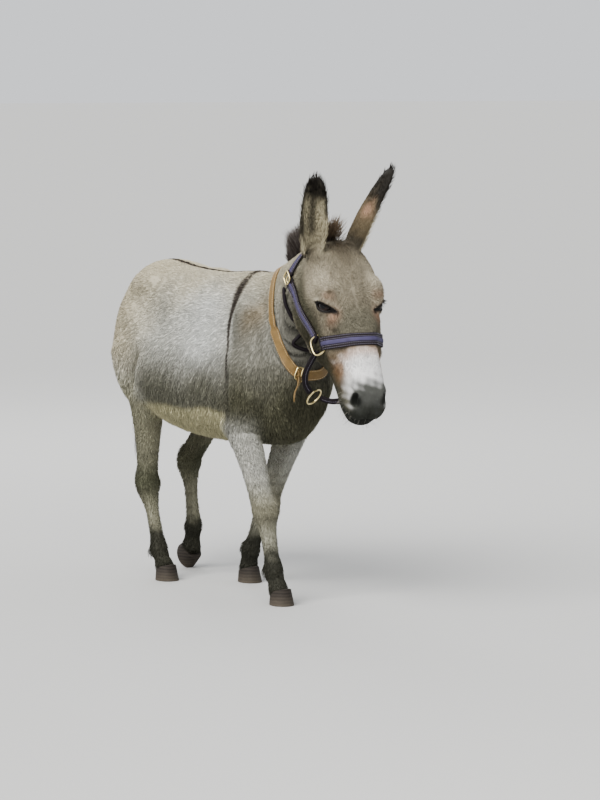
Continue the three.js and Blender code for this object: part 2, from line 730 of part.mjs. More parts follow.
const ringReach = SIDE_RING.size / 2;
const metalSpaces = [];
for (const [side, sign] of [['right', -1], ['left', 1]]) {
  const facing = headAxes.across.clone().multiplyScalar(sign);
  const metal = [
    [`halter_ring_${side}`, HALTER.side_ring, SIDE_RING],
    [`halter_buckle_${side}`, HALTER.buckle, BUCKLE],
  ];
  for (const [name, [along, height], sizes] of metal) {
    const form = (grow) => frameForm(
      onHead(along, height, sign * (outermost(along, height, sign) + sizes.proud)),
      headAxes.along, facing, sizes, grow,
    );
    place(name, form(0).subtract(headSpace).subtract(neckForm(GAP)), 'brass');
    metalSpaces.push(form(GAP));
  }
}

const crown = halterBand(...shortened(HALTER.buckle, HALTER.crown_top, 12, 0), HALTER.strap_width);
place('halter_crown', cutBy(crown, [earSpace, ...metalSpaces]), 'halter');
for (const [side, sign] of [['right', -1], ['left', 1]]) {
  const line = shortened(HALTER.buckle, HALTER.side_ring, 12, ringReach * 0.6);
  const cheek = halterBand(...line, HALTER.strap_width, sign * 20, sign * REACH);
  place(`halter_cheek_${side}`, cutBy(cheek, metalSpaces), 'halter');
}
const noseLine = shortened(HALTER.side_ring, HALTER.nose_top, ringReach * 0.6, 0);
place('halter_noseband', cutBy(halterBand(...noseLine, HALTER.noseband_width), metalSpaces), 'halter');

const throatSide = (sign) => THROAT.side.map(([along, height]) => (
  onHead(along, height, sign * (outermost(along, height, sign) + THROAT.proud))
));
const throatRun = [...throatSide(-1), onHead(...THROAT.low, 0), ...throatSide(1).reverse()];
const throatStrap = roundAlong(throatRun, THROAT.radius, THROAT.steps, THROAT.sides);
place('halter_throat', cutBy(throatStrap, [headAndNeck(GAP), ...metalSpaces]), 'halter');

// The loose chin strap hangs from the two side rings to the chin ring.
const chinRing = vec(CHIN_RING.centre);
for (const [side, sign] of [['right', -1], ['left', 1]]) {
  const { sag, end } = CHIN_STRAP[side];
  const start = onHead(
    HALTER.side_ring[0] + ringReach / 2, HALTER.side_ring[1] - ringReach - CHIN_STRAP.drop,
    sign * (outermost(...HALTER.side_ring, sign) + SIDE_RING.proud),
  );
  const run = [start, ...sag.map(vec), chinRing.clone().add(vec(end))];
  const strap = roundAlong(run, CHIN_STRAP.radius, CHIN_STRAP.steps, CHIN_STRAP.sides);
  place(`halter_chin_strap_${side}`, cutBy(strap, metalSpaces), 'halter');
}
const ringFacing = vec(CHIN_RING.facing).normalize();
const ringAbove = new THREE.Vector3().crossVectors(ringFacing, vec(CHIN_RING.across)).normalize();
const ringPlace = new THREE.Matrix4()
  .makeBasis(new THREE.Vector3().crossVectors(ringAbove, ringFacing), ringAbove, ringFacing)
  .setPosition(chinRing);
const hoop = new THREE.TorusGeometry(CHIN_RING.radius, CHIN_RING.wire, CHIN_RING.sides, CHIN_RING.steps);
place('halter_chin_ring', solidFromGeometry(hoop.applyMatrix4(ringPlace)), 'brass');

// ---------------------------------------------------------------- mane
const strapSpace = halterBand(...shortened(HALTER.buckle, HALTER.crown_top, 0, -20), HALTER.strap_width + 2);
const maneSpace = [headSpace, neckForm(GAP), trunkForm(GAP), earSpace, strapSpace];
const earForms = Object.values(EARS).map((ear) => earForm(ear));
place('mane', cutBy(maneForm(), [...maneSpace, ...earForms]), 'dark_hair');

// ---------------------------------------------------------------- origin
// The origin is the middle of the bottom of the whole model's box.
model.updateMatrixWorld(true);
const box = new THREE.Box3().setFromObject(model);
model.position.set(-(box.min.x + box.max.x) / 2, -(box.min.y + box.max.y) / 2, -box.min.z);
export default model;
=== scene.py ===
"""Life-size donkey, walking, in a halter and a collar: skin, coat, mane, tail, eyes, hooves and gear.

Lengths in the tables are millimetres in the body's own measures, with the withers above the
origin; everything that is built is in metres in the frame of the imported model, in which the
donkey faces -Y and its left side is +X.
"""
from collections import namedtuple
from math import ceil, cos, pi, radians, sin, sqrt

import bpy
import numpy as np
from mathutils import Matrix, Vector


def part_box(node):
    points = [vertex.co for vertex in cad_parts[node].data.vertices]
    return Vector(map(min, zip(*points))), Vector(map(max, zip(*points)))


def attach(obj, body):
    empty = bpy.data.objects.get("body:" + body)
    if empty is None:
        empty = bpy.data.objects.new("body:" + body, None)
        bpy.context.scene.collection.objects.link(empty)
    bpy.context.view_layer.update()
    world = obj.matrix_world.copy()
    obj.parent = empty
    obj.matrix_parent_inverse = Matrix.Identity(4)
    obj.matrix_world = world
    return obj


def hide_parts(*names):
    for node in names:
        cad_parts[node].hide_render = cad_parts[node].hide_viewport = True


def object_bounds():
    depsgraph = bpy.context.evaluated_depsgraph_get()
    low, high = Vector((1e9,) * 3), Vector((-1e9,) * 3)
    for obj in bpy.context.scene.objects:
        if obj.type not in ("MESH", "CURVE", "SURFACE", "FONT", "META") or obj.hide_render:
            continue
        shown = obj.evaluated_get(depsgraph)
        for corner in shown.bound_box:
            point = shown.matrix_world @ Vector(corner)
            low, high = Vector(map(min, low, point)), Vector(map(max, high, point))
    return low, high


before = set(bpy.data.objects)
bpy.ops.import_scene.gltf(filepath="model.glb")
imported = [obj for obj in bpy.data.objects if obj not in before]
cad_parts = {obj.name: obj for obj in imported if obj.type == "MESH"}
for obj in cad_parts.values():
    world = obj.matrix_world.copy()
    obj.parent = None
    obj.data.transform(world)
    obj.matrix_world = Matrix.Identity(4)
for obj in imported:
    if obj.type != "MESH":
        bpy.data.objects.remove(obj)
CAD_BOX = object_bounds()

import openvdb as vdb
from bpy.props import FloatProperty, FloatVectorProperty, IntProperty, PointerProperty
from mathutils import Vector
from mathutils.bvhtree import BVHTree
from numpy.linalg import norm

bl_info = {
    "name": "Donkey in halter and collar",
    "version": (1, 0, 0),
    "blender": (4, 5, 0),
    "location": "3D View > Sidebar > Donkey",
    "description": "Builds the skin, coat, hair, hooves, eyes and gear of a life-size donkey",
    "category": "Object",
}

MM = 0.001
SEED = 41
BODY = "root"

# ---- measures of the body
# place along the back, top, widest height, bottom, half width, wider above than below
TRUNK = (
    (-204, 630, 590, 546, 30, 0.0),
    (-194, 670, 590, 490, 56, 0.0),
    (-166, 728, 590, 446, 84, -0.04),
    (-115, 796, 590, 412, 110, -0.12),
    (-55, 838, 588, 401, 132, -0.18),
    (0, 854, 585, 398, 148, -0.18),
    (70, 853, 585, 397, 164, -0.14),
    (150, 848, 588, 396, 186, -0.1),
    (230, 849, 592, 402, 203, -0.06),
    (310, 854, 600, 416, 204, -0.03),
    (375, 864, 620, 442, 186, 0.0),
    (440, 869, 645, 476, 164, 0.04),
    (500, 853, 660, 512, 134, 0.04),
    (548, 818, 660, 552, 98, 0.0),
    (575, 765, 660, 588, 58, 0.0),
)
# crest point, underside point (y, z each), half width, from the chest to the throat
NECK = (
    (70, 832, -40, 470, 108),
    (0, 845, -140, 508, 92),
    (-50, 856, -190, 560, 80),
    (-100, 878, -203, 628, 78),
    (-155, 902, -200, 700, 78),
    (-215, 926, -214, 762, 73),
    (-300, 930, -262, 815, 60),
)
NECK_LEAN = -8
NECK_KEEL = -0.22

HEAD = {"poll": (-2, -325, 942), "turn": 11.5, "nod": 57, "jaw_square": 2.7}
# distance from the poll, face line, widest height, jaw line, half width, wider above than below
HEAD_SECTIONS = (
    (-24, -28, -50, -84, 44, 0.0),
    (0, -8, -50, -128, 68, 0.0),
    (48, 3, -50, -190, 88, 0.04),
    (98, 8, -50, -230, 94, 0.06),
    (150, 6, -56, -240, 88, 0.04),
    (200, 1, -62, -228, 82, 0.02),
    (250, -4, -70, -196, 75, 0.02),
    (305, -8, -72, -165, 62, 0.0),
    (358, -18, -78, -160, 57, -0.02),
    (402, -35, -86, -157, 56, -0.04),
    (434, -55, -95, -149, 47, -0.04),
    (453, -80, -104, -132, 28, 0.0),
)
EYE_PLACE = (168, -31)
EYE_SLIT = {"half": 0.0222, "upper": 0.0062, "lower": 0.0088, "tilt": 42}
EARS = {
    "left": ((38, -318, 914), (133, -370, 1125), (1, -0.05, -0.2)),
    "right": ((-65, -294, 904), (-103, -363, 1106), (-0.62, -0.78, -0.2)),
}
# share of the ear's length, half width, depth of the cup, degrees it wraps to each side
EAR_SECTIONS = (
    (0, 24, 23, 140),
    (0.1, 28, 23, 128),
    (0.25, 33, 21, 112),
    (0.42, 36, 18, 98),
    (0.6, 34, 15, 92),
    (0.78, 30, 12, 88),
    (0.92, 23, 9, 86),
    (1, 12, 6, 84),
)
EAR_BOW = 5
EAR_WALL = 5.5

LEGS = {
    "fore_left": ((94, -30, 560), (96, 8, 440), (75, 105, 222), (75, 172, 90), (78, 190, 36)),
    "fore_right": ((-100, -70, 560), (-95, -32, 446), (-86, -117, 240), (-84, -153, 92), (-82, -171, 36)),
    "hind_left": ((110, 430, 640), (112, 345, 496), (95, 500, 298), (92, 472, 122), (90, 482, 57)),
    "hind_right": ((-110, 430, 640), (-114, 382, 500), (-90, 428, 256), (-86, 378, 84), (-88, 351, 36)),
}
# toe on the floor, turn and lift of the heel in degrees
HOOVES = {
    "fore_left": ((78, 146, 0), 2, 0),
    "fore_right": ((-81, -218, 0), -2, 0),
    "hind_left": ((90, 490, -2), 2, 62),
    "hind_right": ((-88, 304, 0), -2, 0),
}
HOOF = {
    "length": 80, "width": 60, "toe_height": 47, "heel_height": 24,
    "narrowing": 0.16, "slope": 0.06, "toe_spread": 0.12, "heel_share": 0.86,
}
# bone, share along it, half width, reach to the front, reach to the back
FORE_PROFILE = (
    (0, 0, 42, 62, 70),
    (0, 0.6, 46, 56, 66),
    (1, 0, 43, 48, 52),
    (1, 0.2, 39, 44, 42),
    (1, 0.5, 34, 38, 34),
    (1, 0.8, 34, 33, 31),
    (2, 0, 37, 38, 33),
    (2, 0.14, 33, 34, 32),
    (2, 0.35, 25, 23, 26),
    (2, 0.75, 21, 19, 24),
    (3, 0, 26, 25, 31),
    (3, 0.5, 24, 22, 25),
    (3, 1, 27, 28, 27),
    (3, 1.15, 22, 22, 22),
)
HIND_PROFILE = (
    (0, 0, 60, 118, 90),
    (0, 0.6, 60, 98, 84),
    (1, 0, 52, 70, 74),
    (1, 0.3, 40, 33, 50),
    (1, 0.6, 31, 31, 38),
    (1, 0.85, 28, 32, 40),
    (2, 0, 33, 33, 42),
    (2, 0.2, 27, 26, 32),
    (2, 0.42, 20, 19, 23),
    (2, 0.78, 20, 18, 23),
    (3, 0, 25, 23, 29),
    (3, 0.5, 23, 21, 24),
    (3, 1, 27, 28, 26),
    (3, 1.15, 22, 22, 22),
)
TAIL_DOCK = (
    (0, 540, 812, 17),
    (0, 568, 792, 17),
    (0, 580, 740, 15),
    (0, 584, 660, 13),
    (0, 585, 580, 11),
    (0, 585, 500, 9),
    (0, 585, 440, 7),
)

# Depth of the coat over the skin on each limb, millimetres
COAT_DEPTH = {"trunk": 6.5, "neck": 6, "head": 3, "leg": 4, "ear": 0.7, "tail": 4}

# Muscles and bones that show through the skin, drawn once for each side of the body:
# centre (x, y, z), half sizes, lean of the upright axis to the rear in degrees, blend;
# a negative blend hollows the skin instead
MUSCLES = (
    ((40, -158, 560), (34, 32, 70), 0, 32),
    ((100, -84, 670), (34, 42, 116), 24, 36),
    ((108, -72, 578), (40, 48, 84), 0, 34),
    ((160, -26, 530), (20, 13, 92), -6, -20),
    ((112, -6, 458), (20, 24, 22), 0, 20),
    ((104, 440, 640), (64, 72, 136), -8, 40),
    ((126, 376, 808), (28, 38, 24), 0, 46),
    ((128, 352, 536), (30, 34, 46), 0, 32),
    ((48, 536, 690), (34, 30, 84), 0, 32),
    ((188, 296, 742), (40, 70, 56), 0, -46),
    ((196, 366, 560), (34, 14, 84), -34, -24),
    ((112, -132, 726), (18, 16, 110), 28, -26),
    ((116, 496, 520), (16, 14, 60), -16, -18),
)


# Forms of the head: along, out, across, half sizes, blend and, where it is turned, its tilt
HEAD_PAIRS = (
    (138, -11, 69, (38, 19, 20), 22, -10),
    (118, -140, 62, (66, 62, 28), 22),
    (232, -66, 68, (62, 8, 8), 16, -12),
    (100, 12, 56, (26, 14, 16), -22),
    (300, -34, 62, (60, 16, 16), -26),
    (410, -58, 33, (26, 13, 14), 12, -30),
    (426, -88, 37, (16, 18, 14), 12),
    (440, -96, 22, (14, 20, 20), 10),
)
HEAD_MIDDLE = (
    (430, -134, 0, (23, 13, 32), 12),
    (404, -146, 0, (24, 12, 26), 12),
    (262, -214, 0, (96, 26, 24), -26),
)
NOSTRIL = ((421, -63, 41, (17, 7, 12), -6, -40), (411, -54, 36, (8, 6, 8), -6, -36))


# ---- settings in the sidebar
def length_setting(name, description, default, low, high):
    """A length that a user may change."""
    return FloatProperty(name=name, description=description, default=default, min=low, max=high,
                         subtype="DISTANCE", unit="LENGTH")


def share_setting(name, description, low, high):
    """A factor about 1 that a user may change."""
    return FloatProperty(name=name, description=description, default=1.0, min=low, max=high, subtype="FACTOR")


def colour_setting(name, description, default):
    """A colour that a user may change."""
    return FloatVectorProperty(name=name, description=description, default=default, subtype="COLOR", size=3,
                               min=0.0, max=1.0)


class DonkeyCoatSettings(bpy.types.PropertyGroup):
    """Sizes and colours of the skin and the coat."""

    voxel: length_setting("Skin grain", "Spacing of the grid for the skin", 0.002, 0.001, 0.01)
    skin_triangles: IntProperty(
        name="Skin triangles", description="How many triangles the skin is thinned to",
        default=190000, min=20000, max=199000)
    length: share_setting("Coat length", "Length of the coat against its usual length", 0.3, 2.0)
    density: share_setting("Coat density", "Number of tufts against the usual number", 0.05, 1.2)
    grey: colour_setting("Side", "Colour of the flanks", (0.5, 0.496, 0.455))
    beige: colour_setting("Back", "Colour of the back and croup", (0.53, 0.48, 0.36))
    cream: colour_setting("Belly", "Colour of the belly and of the inside of the legs", (0.56, 0.525, 0.35))
    dark: colour_setting("Stripe", "Colour of back stripe, shoulder cross and mane", (0.036, 0.027, 0.022))


class DonkeyGearSettings(bpy.types.PropertyGroup):
    """Sizes and colours of the halter and the collar."""

    halter_thickness: length_setting("Halter thickness", "Thickness of its straps", 0.0042, 0.001, 0.01)
    collar_thickness: length_setting("Collar thickness", "Thickness of its strap", 0.0042, 0.001, 0.01)
    halter: colour_setting("Halter", "Colour of the halter's leather", (0.022, 0.018, 0.021))
    padding: colour_setting("Padding", "Colour of the halter's padded stripe", (0.078, 0.07, 0.13))
    collar: colour_setting("Collar", "Colour of the collar's leather", (0.2, 0.13, 0.052))
    brass: colour_setting("Brass", "Colour of the rings and buckles", (0.86, 0.68, 0.38))


class DonkeyStageSettings(bpy.types.PropertyGroup):
    """Floor, lights and camera."""

    light: share_setting("Light", "Strength of the lights against the usual strength", 0.0, 4.0)
    floor: colour_setting("Floor", "Colour of the floor", (0.475, 0.475, 0.47))


# ---- helpers for numbers
def mix(a, b, share):
    """a plus the share of the way to b; a share for each row is spread over the columns."""
    share = np.asarray(share, float)
    if max(np.ndim(a), np.ndim(b)) > share.ndim:
        share = share[..., None]
    return a + (b - a) * share


def step(low, high, value):
    """Smooth step from 0 at low to 1 at high: 3 t^2 - 2 t^3."""
    t = np.clip((value - low) / (high - low), 0.0, 1.0)
    return t * t * (3 - 2 * t)


def bell(value, width):
    """Bell curve of the value, 1 at zero and 0.37 at the width."""
    return np.exp(-(value / width) ** 2)


def unit(vectors):
    """Vectors brought to length 1."""
    length = norm(vectors, axis=-1, keepdims=True)
    return vectors / np.maximum(length, 1e-12)


def dots(a, b):
    """Products of rows with rows, as a column."""
    return (a * b).sum(-1, keepdims=True)


def square_to(vectors, axes):
    """Unit vectors nearest to the given ones and square to the axes."""
    return unit(vectors - axes * dots(axes, vectors))


def all_round(count):
    """Angles spread evenly over a full turn."""
    return np.linspace(0, 2 * pi, count, endpoint=False)


def columns(*parts):
    """Arrays side by side, as the columns of one."""
    return np.stack(np.broadcast_arrays(*parts), axis=-1)


def columns_at(wanted, known, rows):
    """Rows read off a table between its known places."""
    return np.stack([np.interp(wanted, known, column) for column in np.transpose(rows)], -1)


def smooth_rows(rows, count):
    """Rows of a table resampled to count rows. Each column is a cubic through its values whose
    slope at a value is half the difference of its neighbours, straight past both ends."""
    rows = np.asarray(rows, float)
    place = np.linspace(0, len(rows) - 1, count)
    at = np.minimum(place.astype(int), len(rows) - 2)
    t = (place - at)[:, None]
    ends = np.vstack([2 * rows[0] - rows[1], rows, 2 * rows[-1] - rows[-2]])
    before, here, after, beyond = (ends[at + i] for i in range(4))
    slope = (after - before) / 2
    next_slope = (beyond - here) / 2
    return ((2 * t ** 3 - 3 * t ** 2 + 1) * here + (t ** 3 - 2 * t ** 2 + t) * slope
            + (3 * t ** 2 - 2 * t ** 3) * after + (t ** 3 - t ** 2) * next_slope)


def waves(points, scale, seed, layers=5):
    """Smooth noise between about -1 and 1: the mean of sines with random directions, whose
    wavelengths lie around scale."""
    random = np.random.default_rng(seed)
    total = np.zeros(len(points))
    for _ in range(layers):
        direction = unit(random.normal(size=3)) * random.uniform(0.6, 1.6) / scale
        phase = random.uniform(0, 2 * pi)
        total += np.sin(2 * pi * (points @ direction) + phase)
    return total / layers * 1.6


# ---- the body's own measures
def middle(node):
    """Centre of a node's box."""
    low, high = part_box(node)
    return (np.array(low) + np.array(high)) / 2


def head_axes():
    """The head's own axes: along the nose, out of the face, across to the donkey's left."""
    turn = radians(HEAD["turn"])
    nod = radians(HEAD["nod"])
    forward = np.array([-sin(turn), -cos(turn), 0.0])
    up = np.array([0.0, 0.0, 1.0])
    along = forward * cos(nod) - up * sin(nod)
    out = forward * sin(nod) + up * cos(nod)
    across = np.array([cos(turn), -sin(turn), 0.0])
    return np.array([along, out, across])


HEAD_AXES = head_axes()
EYES_BETWEEN = (middle("eye_left") + middle("eye_right")) / 2
POLL = EYES_BETWEEN - (np.array([*EYE_PLACE, 0.0]) * MM) @ HEAD_AXES
SHIFT = POLL - np.array(HEAD["poll"]) * MM
EYE_RADIUS = (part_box("eye_right")[1][2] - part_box("eye_right")[0][2]) / 2


def place(points):
    """Points of the tables, in millimetres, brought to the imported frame."""
    return np.asarray(points, float) * MM + SHIFT


def on_head(along, out, across):
    """Points given in the head's own measures, in millimetres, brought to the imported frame."""
    local = columns(along, out, across).astype(float) * MM
    return POLL + local @ HEAD_AXES


def in_head(points):
    """Distance along the nose, height over the nose line and distance across, in metres."""
    return (points - POLL) @ HEAD_AXES.T


# ---- closed surfaces
def ring_loft(centres, across, up, half, rise, drop, keel=0.0, square=2.0, low=None, sides=48):
    """Grid of points of a limb. A section is a rounded shape half wide, rise up and drop down;
    its corners are those of a curve |x|^n + |y|^n = 1, with n = square above and low below."""
    angle = all_round(sides)
    power = np.where(angle > pi, 2 / (low or square), 2 / square)
    c = np.sign(np.cos(angle)) * np.abs(np.cos(angle)) ** power
    s = np.sign(np.sin(angle)) * np.abs(np.sin(angle)) ** power
    half, rise, drop, keel = (np.broadcast_to(v, len(centres))[:, None] for v in (half, rise, drop, keel))
    wide = half * c * (1 + keel * s)
    high = np.where(s > 0, rise * s, drop * s)
    across = np.broadcast_to(across, (len(centres), 3))[:, None]
    up = np.broadcast_to(up, (len(centres), 3))[:, None]
    return centres[:, None] + across * wide[..., None] + up * high[..., None]


def closed_tube(grid):
    """Points and triangles of a closed tube: rings joined in order, with a fan over each end."""
    rows, sides = grid.shape[:2]
    points = np.vstack([grid.reshape(-1, 3), grid[0].mean(0), grid[-1].mean(0)])
    index = np.arange(rows * sides).reshape(rows, sides)
    after = np.roll(index, -1, axis=1)
    a, b, c, d = index[:-1], after[:-1], after[1:], index[1:]
    first = np.full(sides, rows * sides)
    last = first + 1
    triangles = np.vstack([
        columns(a, b, c).reshape(-1, 3),
        columns(a, c, d).reshape(-1, 3),
        columns(first, after[0], index[0]),
        columns(last, index[-1], after[-1]),
    ])
    return points, outward(points, triangles)


def outward(points, faces):
    """Faces turned so that the surface they close has a positive volume."""
    corners = faces if faces.shape[1] == 3 else np.vstack([faces[:, :3], faces[:, [0, 2, 3]]])
    a, b, c = (points[corners[:, i]] for i in range(3))
    return faces[:, ::-1] if np.einsum("ij,ij->", a, np.cross(b, c)) < 0 else faces


def trunk_grid():
    """The trunk: sections set along the back, upright and across the body."""
    y, top, wide, bottom, half, keel = smooth_rows(TRUNK, 70).T
    centres = place(columns(0 * y, y, wide))
    return ring_loft(centres, (1, 0, 0), (0, 0, 1), half * MM, (top - wide) * MM, (wide - bottom) * MM,
                     keel, 2.15, sides=72)


def neck_grid():
    """The neck: sections that stand on the line from the crest to the underside."""
    rows = smooth_rows(NECK, 40)
    lean = NECK_LEAN * np.linspace(0, 1, len(rows))
    crest = place(columns(lean, rows[:, 0], rows[:, 1]))
    under = place(columns(lean, rows[:, 2], rows[:, 3]))
    depth = norm(crest - under, axis=1) / 2
    return ring_loft((crest + under) / 2, (1, 0, 0), unit(crest - under), rows[:, 4] * MM, depth, depth,
                     NECK_KEEL, 2.0, sides=60)


def head_grid():
    """The head: sections set along the nose, square to it."""
    along, face, wide, jaw, half, keel = smooth_rows(HEAD_SECTIONS, 60).T
    return ring_loft(on_head(along, wide, 0 * along), HEAD_AXES[2], HEAD_AXES[1], half * MM,
                     (face - wide) * MM, (wide - jaw) * MM, keel, 2.3, HEAD["jaw_square"], 60)


def leg_line(name):
    """Centre line of a leg with its half width and its reach to front and back, in millimetres."""
    joints = np.array(LEGS[name], float)
    profile = np.array(FORE_PROFILE if name.startswith("fore") else HIND_PROFILE, float)
    bone = profile[:, 0].astype(int)
    upper = joints[bone]
    lower = joints[np.minimum(bone + 1, len(joints) - 1)]
    centres = upper + (lower - upper) * profile[:, 1:2]
    return smooth_rows(np.hstack([centres, profile[:, 2:]]), 70)


def limb_frames(centres):
    """Directions down a line and square to it, ahead and across."""
    down = unit(np.gradient(centres, axis=0))
    ahead = unit(np.cross(down, (1, 0, 0)))
    return down, ahead, np.cross(ahead, down)


def leg_grid(name):
    """A leg: oval sections square to its centre line."""
    rows = leg_line(name)
    centres = place(rows[:, :3])
    _, ahead, across = limb_frames(centres)
    return ring_loft(centres, across, ahead, *(rows[:, 3:] * MM).T, 0, 2.1, sides=40)


def ear_frame(side):
    """Root, direction to the tip, length, direction that the ear opens to and direction across."""
    base, tip, opening = (np.array(v, float) for v in EARS[side])
    root = place(base)
    axis = unit(tip - base)
    front = square_to(opening, axis)
    return root, axis, norm(tip - base) * MM, front, np.cross(axis, front)


def ear_grid(side, steps=22):
    """An ear: a blade wrapped round its own axis into a cup. Each section is an arc of the outer
    wall and back along an arc of the inner wall."""
    root, axis, length, front, across = ear_frame(side)
    share, half, depth, wrap = smooth_rows(EAR_SECTIONS, 44).T
    bow = np.sin(share * pi) * EAR_BOW * MM
    centres = root + axis * (share * length)[:, None] - front * bow[:, None]
    wall = np.minimum(EAR_WALL, np.minimum(depth * 0.9, half * 0.62))
    turn = np.radians(wrap)[:, None] * np.linspace(-1, 1, steps)
    arcs = []
    for inset, angle in ((0 * wall, turn), (wall, -turn)):
        side_way = np.sin(angle) * (half - inset)[:, None] * MM
        front_way = -np.cos(angle) * (depth - inset)[:, None] * MM
        arcs.append(centres[:, None] + across * side_way[..., None] + front * front_way[..., None])
    return np.concatenate(arcs, axis=1)


def tail_grid():
    """The dock of the tail: round sections along its line."""
    rows = smooth_rows(TAIL_DOCK, 40)
    centres = place(rows[:, :3])
    _, ahead, across = limb_frames(centres)
    radius = rows[:, 3] * MM
    return ring_loft(centres, across, ahead, radius, radius, radius, sides=24)


# ---- distance fields
def smooth_min(a, b, blend):
    """The lower of two distances, rounded where they differ by less than the blend."""
    near = np.clip(1 - np.abs(a - b) / blend, 0, 1)
    return np.minimum(a, b) - near * near * blend / 4


class Field:
    """Distances to a surface on a regular grid, in metres, negative inside."""

    def __init__(self, origin, spacing, values):
        self.origin = np.asarray(origin, float)
        self.spacing = spacing
        self.values = values

    def window(self, low, high):
        """Slices of the grid that cover a box."""
        first = np.floor((np.asarray(low) - self.origin) / self.spacing).astype(int)
        last = np.ceil((np.asarray(high) - self.origin) / self.spacing).astype(int) + 1
        first = np.clip(first, 0, self.values.shape)
        last = np.clip(last, 0, self.values.shape)
        return tuple(slice(a, b) for a, b in zip(first, last))

    def places(self, window):
        """x, y and z of the window's grid points, each along its own axis."""
        lines = [self.origin[i] + self.spacing * np.arange(part.start, part.stop, dtype=np.float32)
                 for i, part in enumerate(window)]
        return (lines[0].astype(np.float32)[:, None, None], lines[1].astype(np.float32)[None, :, None],
                lines[2].astype(np.float32)[None, None, :])

    def sample(self, points):
        """Distances at points, mixed from the eight grid points round each."""
        place_in = (points - self.origin) / self.spacing
        limit = np.array(self.values.shape) - 1.001
        place_in = np.clip(place_in, 0, limit)
        at = place_in.astype(int)
        t = place_in - at
        total = np.zeros(len(points))
        for corner in np.ndindex(2, 2, 2):
            weight = np.ones(len(points))
            for axis in range(3):
                weight *= t[:, axis] if corner[axis] else 1 - t[:, axis]
            total += weight * self.values[tuple((at + corner).T)]
        return total

    def local(self, window, centre, axes):
        """Coordinates of the window's grid points about a centre, along three axes."""
        x, y, z = self.places(window)
        dx, dy, dz = x - centre[0], y - centre[1], z - centre[2]
        return [dx * a[0] + dy * a[1] + dz * a[2] for a in np.asarray(axes, np.float32)]

    def add_ball(self, centre, sizes, blend, axes=np.eye(3)):
        """Joins an ellipsoid to the form, or with a negative blend takes it away."""
        centre = np.asarray(centre, float)
        reach = max(sizes) + abs(blend)
        window = self.window(centre - reach, centre + reach)
        if min(part.stop - part.start for part in window) < 1:
            return
        local = self.local(window, centre, axes)
        near = np.sqrt(sum((v / s) ** 2 for v, s in zip(local, sizes)))
        steep = np.sqrt(sum((v / s ** 2) ** 2 for v, s in zip(local, sizes)))
        ball = near * (near - 1) / np.maximum(steep, 1e-6)
        part = self.values[window]
        if blend > 0:
            self.values[window] = smooth_min(part, ball, blend)
        else:
            self.values[window] = -smooth_min(-part, ball, -blend)


def loft_field(grid, spacing, reach, origin):
    """Distances to a closed tube within reach of it, on grid points shared with the origin."""
    points, triangles = closed_tube(grid)
    low = np.floor((points.min(0) - reach - origin) / spacing).astype(int)
    high = np.ceil((points.max(0) + reach - origin) / spacing).astype(int)
    surface = vdb.FloatGrid.createLevelSetFromPolygons(
        ((points - origin) / spacing).astype(np.float32), triangles=triangles.astype(np.uint32),
        transform=vdb.createLinearTransform(voxelSize=1.0), halfWidth=reach / spacing)
    values = np.full(high - low + 1, reach / spacing, np.float32)
    surface.copyToArray(values, ijk=tuple(int(v) for v in low))
    return Field(origin + low * spacing, spacing, values * np.float32(spacing))


def join_field(whole, part, blend, depth=0.0):
    """Joins one limb to the whole, sunk by the depth of its coat."""
    offset = np.round((part.origin - whole.origin) / whole.spacing).astype(int)
    first = np.maximum(offset, 0)
    last = np.minimum(offset + part.values.shape, whole.values.shape)
    target = tuple(slice(a, b) for a, b in zip(first, last))
    source = tuple(slice(a, b) for a, b in zip(first - offset, last - offset))
    whole.values[target] = smooth_min(whole.values[target], part.values[source] + np.float32(depth), blend)


def finer(field):
    """The same field on a grid twice as fine, the new points midway between the old ones."""
    values = field.values
    for axis in range(3):
        shape = list(values.shape)
        shape[axis] = shape[axis] * 2 - 1
        wide = np.empty(shape, np.float32)
        even = [slice(None)] * 3
        odd = [slice(None)] * 3
        even[axis] = slice(0, None, 2)
        odd[axis] = slice(1, None, 2)
        wide[tuple(even)] = values
        before = np.take(values, range(values.shape[axis] - 1), axis)
        after = np.take(values, range(1, values.shape[axis]), axis)
        wide[tuple(odd)] = (before + after) / 2
        values = wide
    return Field(field.origin, field.spacing / 2, values)


# ---- the whole form
# the limbs' fields by name, and how far from a limb they reach
LIMBS = {}
REACH = 0.05


def build_limbs(spacing, origin):
    """Distance fields of the limbs on their own, kept for the lie and the colours of the coat."""
    grids = {"trunk": trunk_grid(), "neck": neck_grid(), "tail": tail_grid(), "head": head_grid()}
    grids.update({f"leg_{name}": leg_grid(name) for name in LEGS})
    grids.update({f"ear_{side}": ear_grid(side) for side in EARS})
    for name, grid in grids.items():
        LIMBS[name] = loft_field(grid, spacing, REACH, origin)


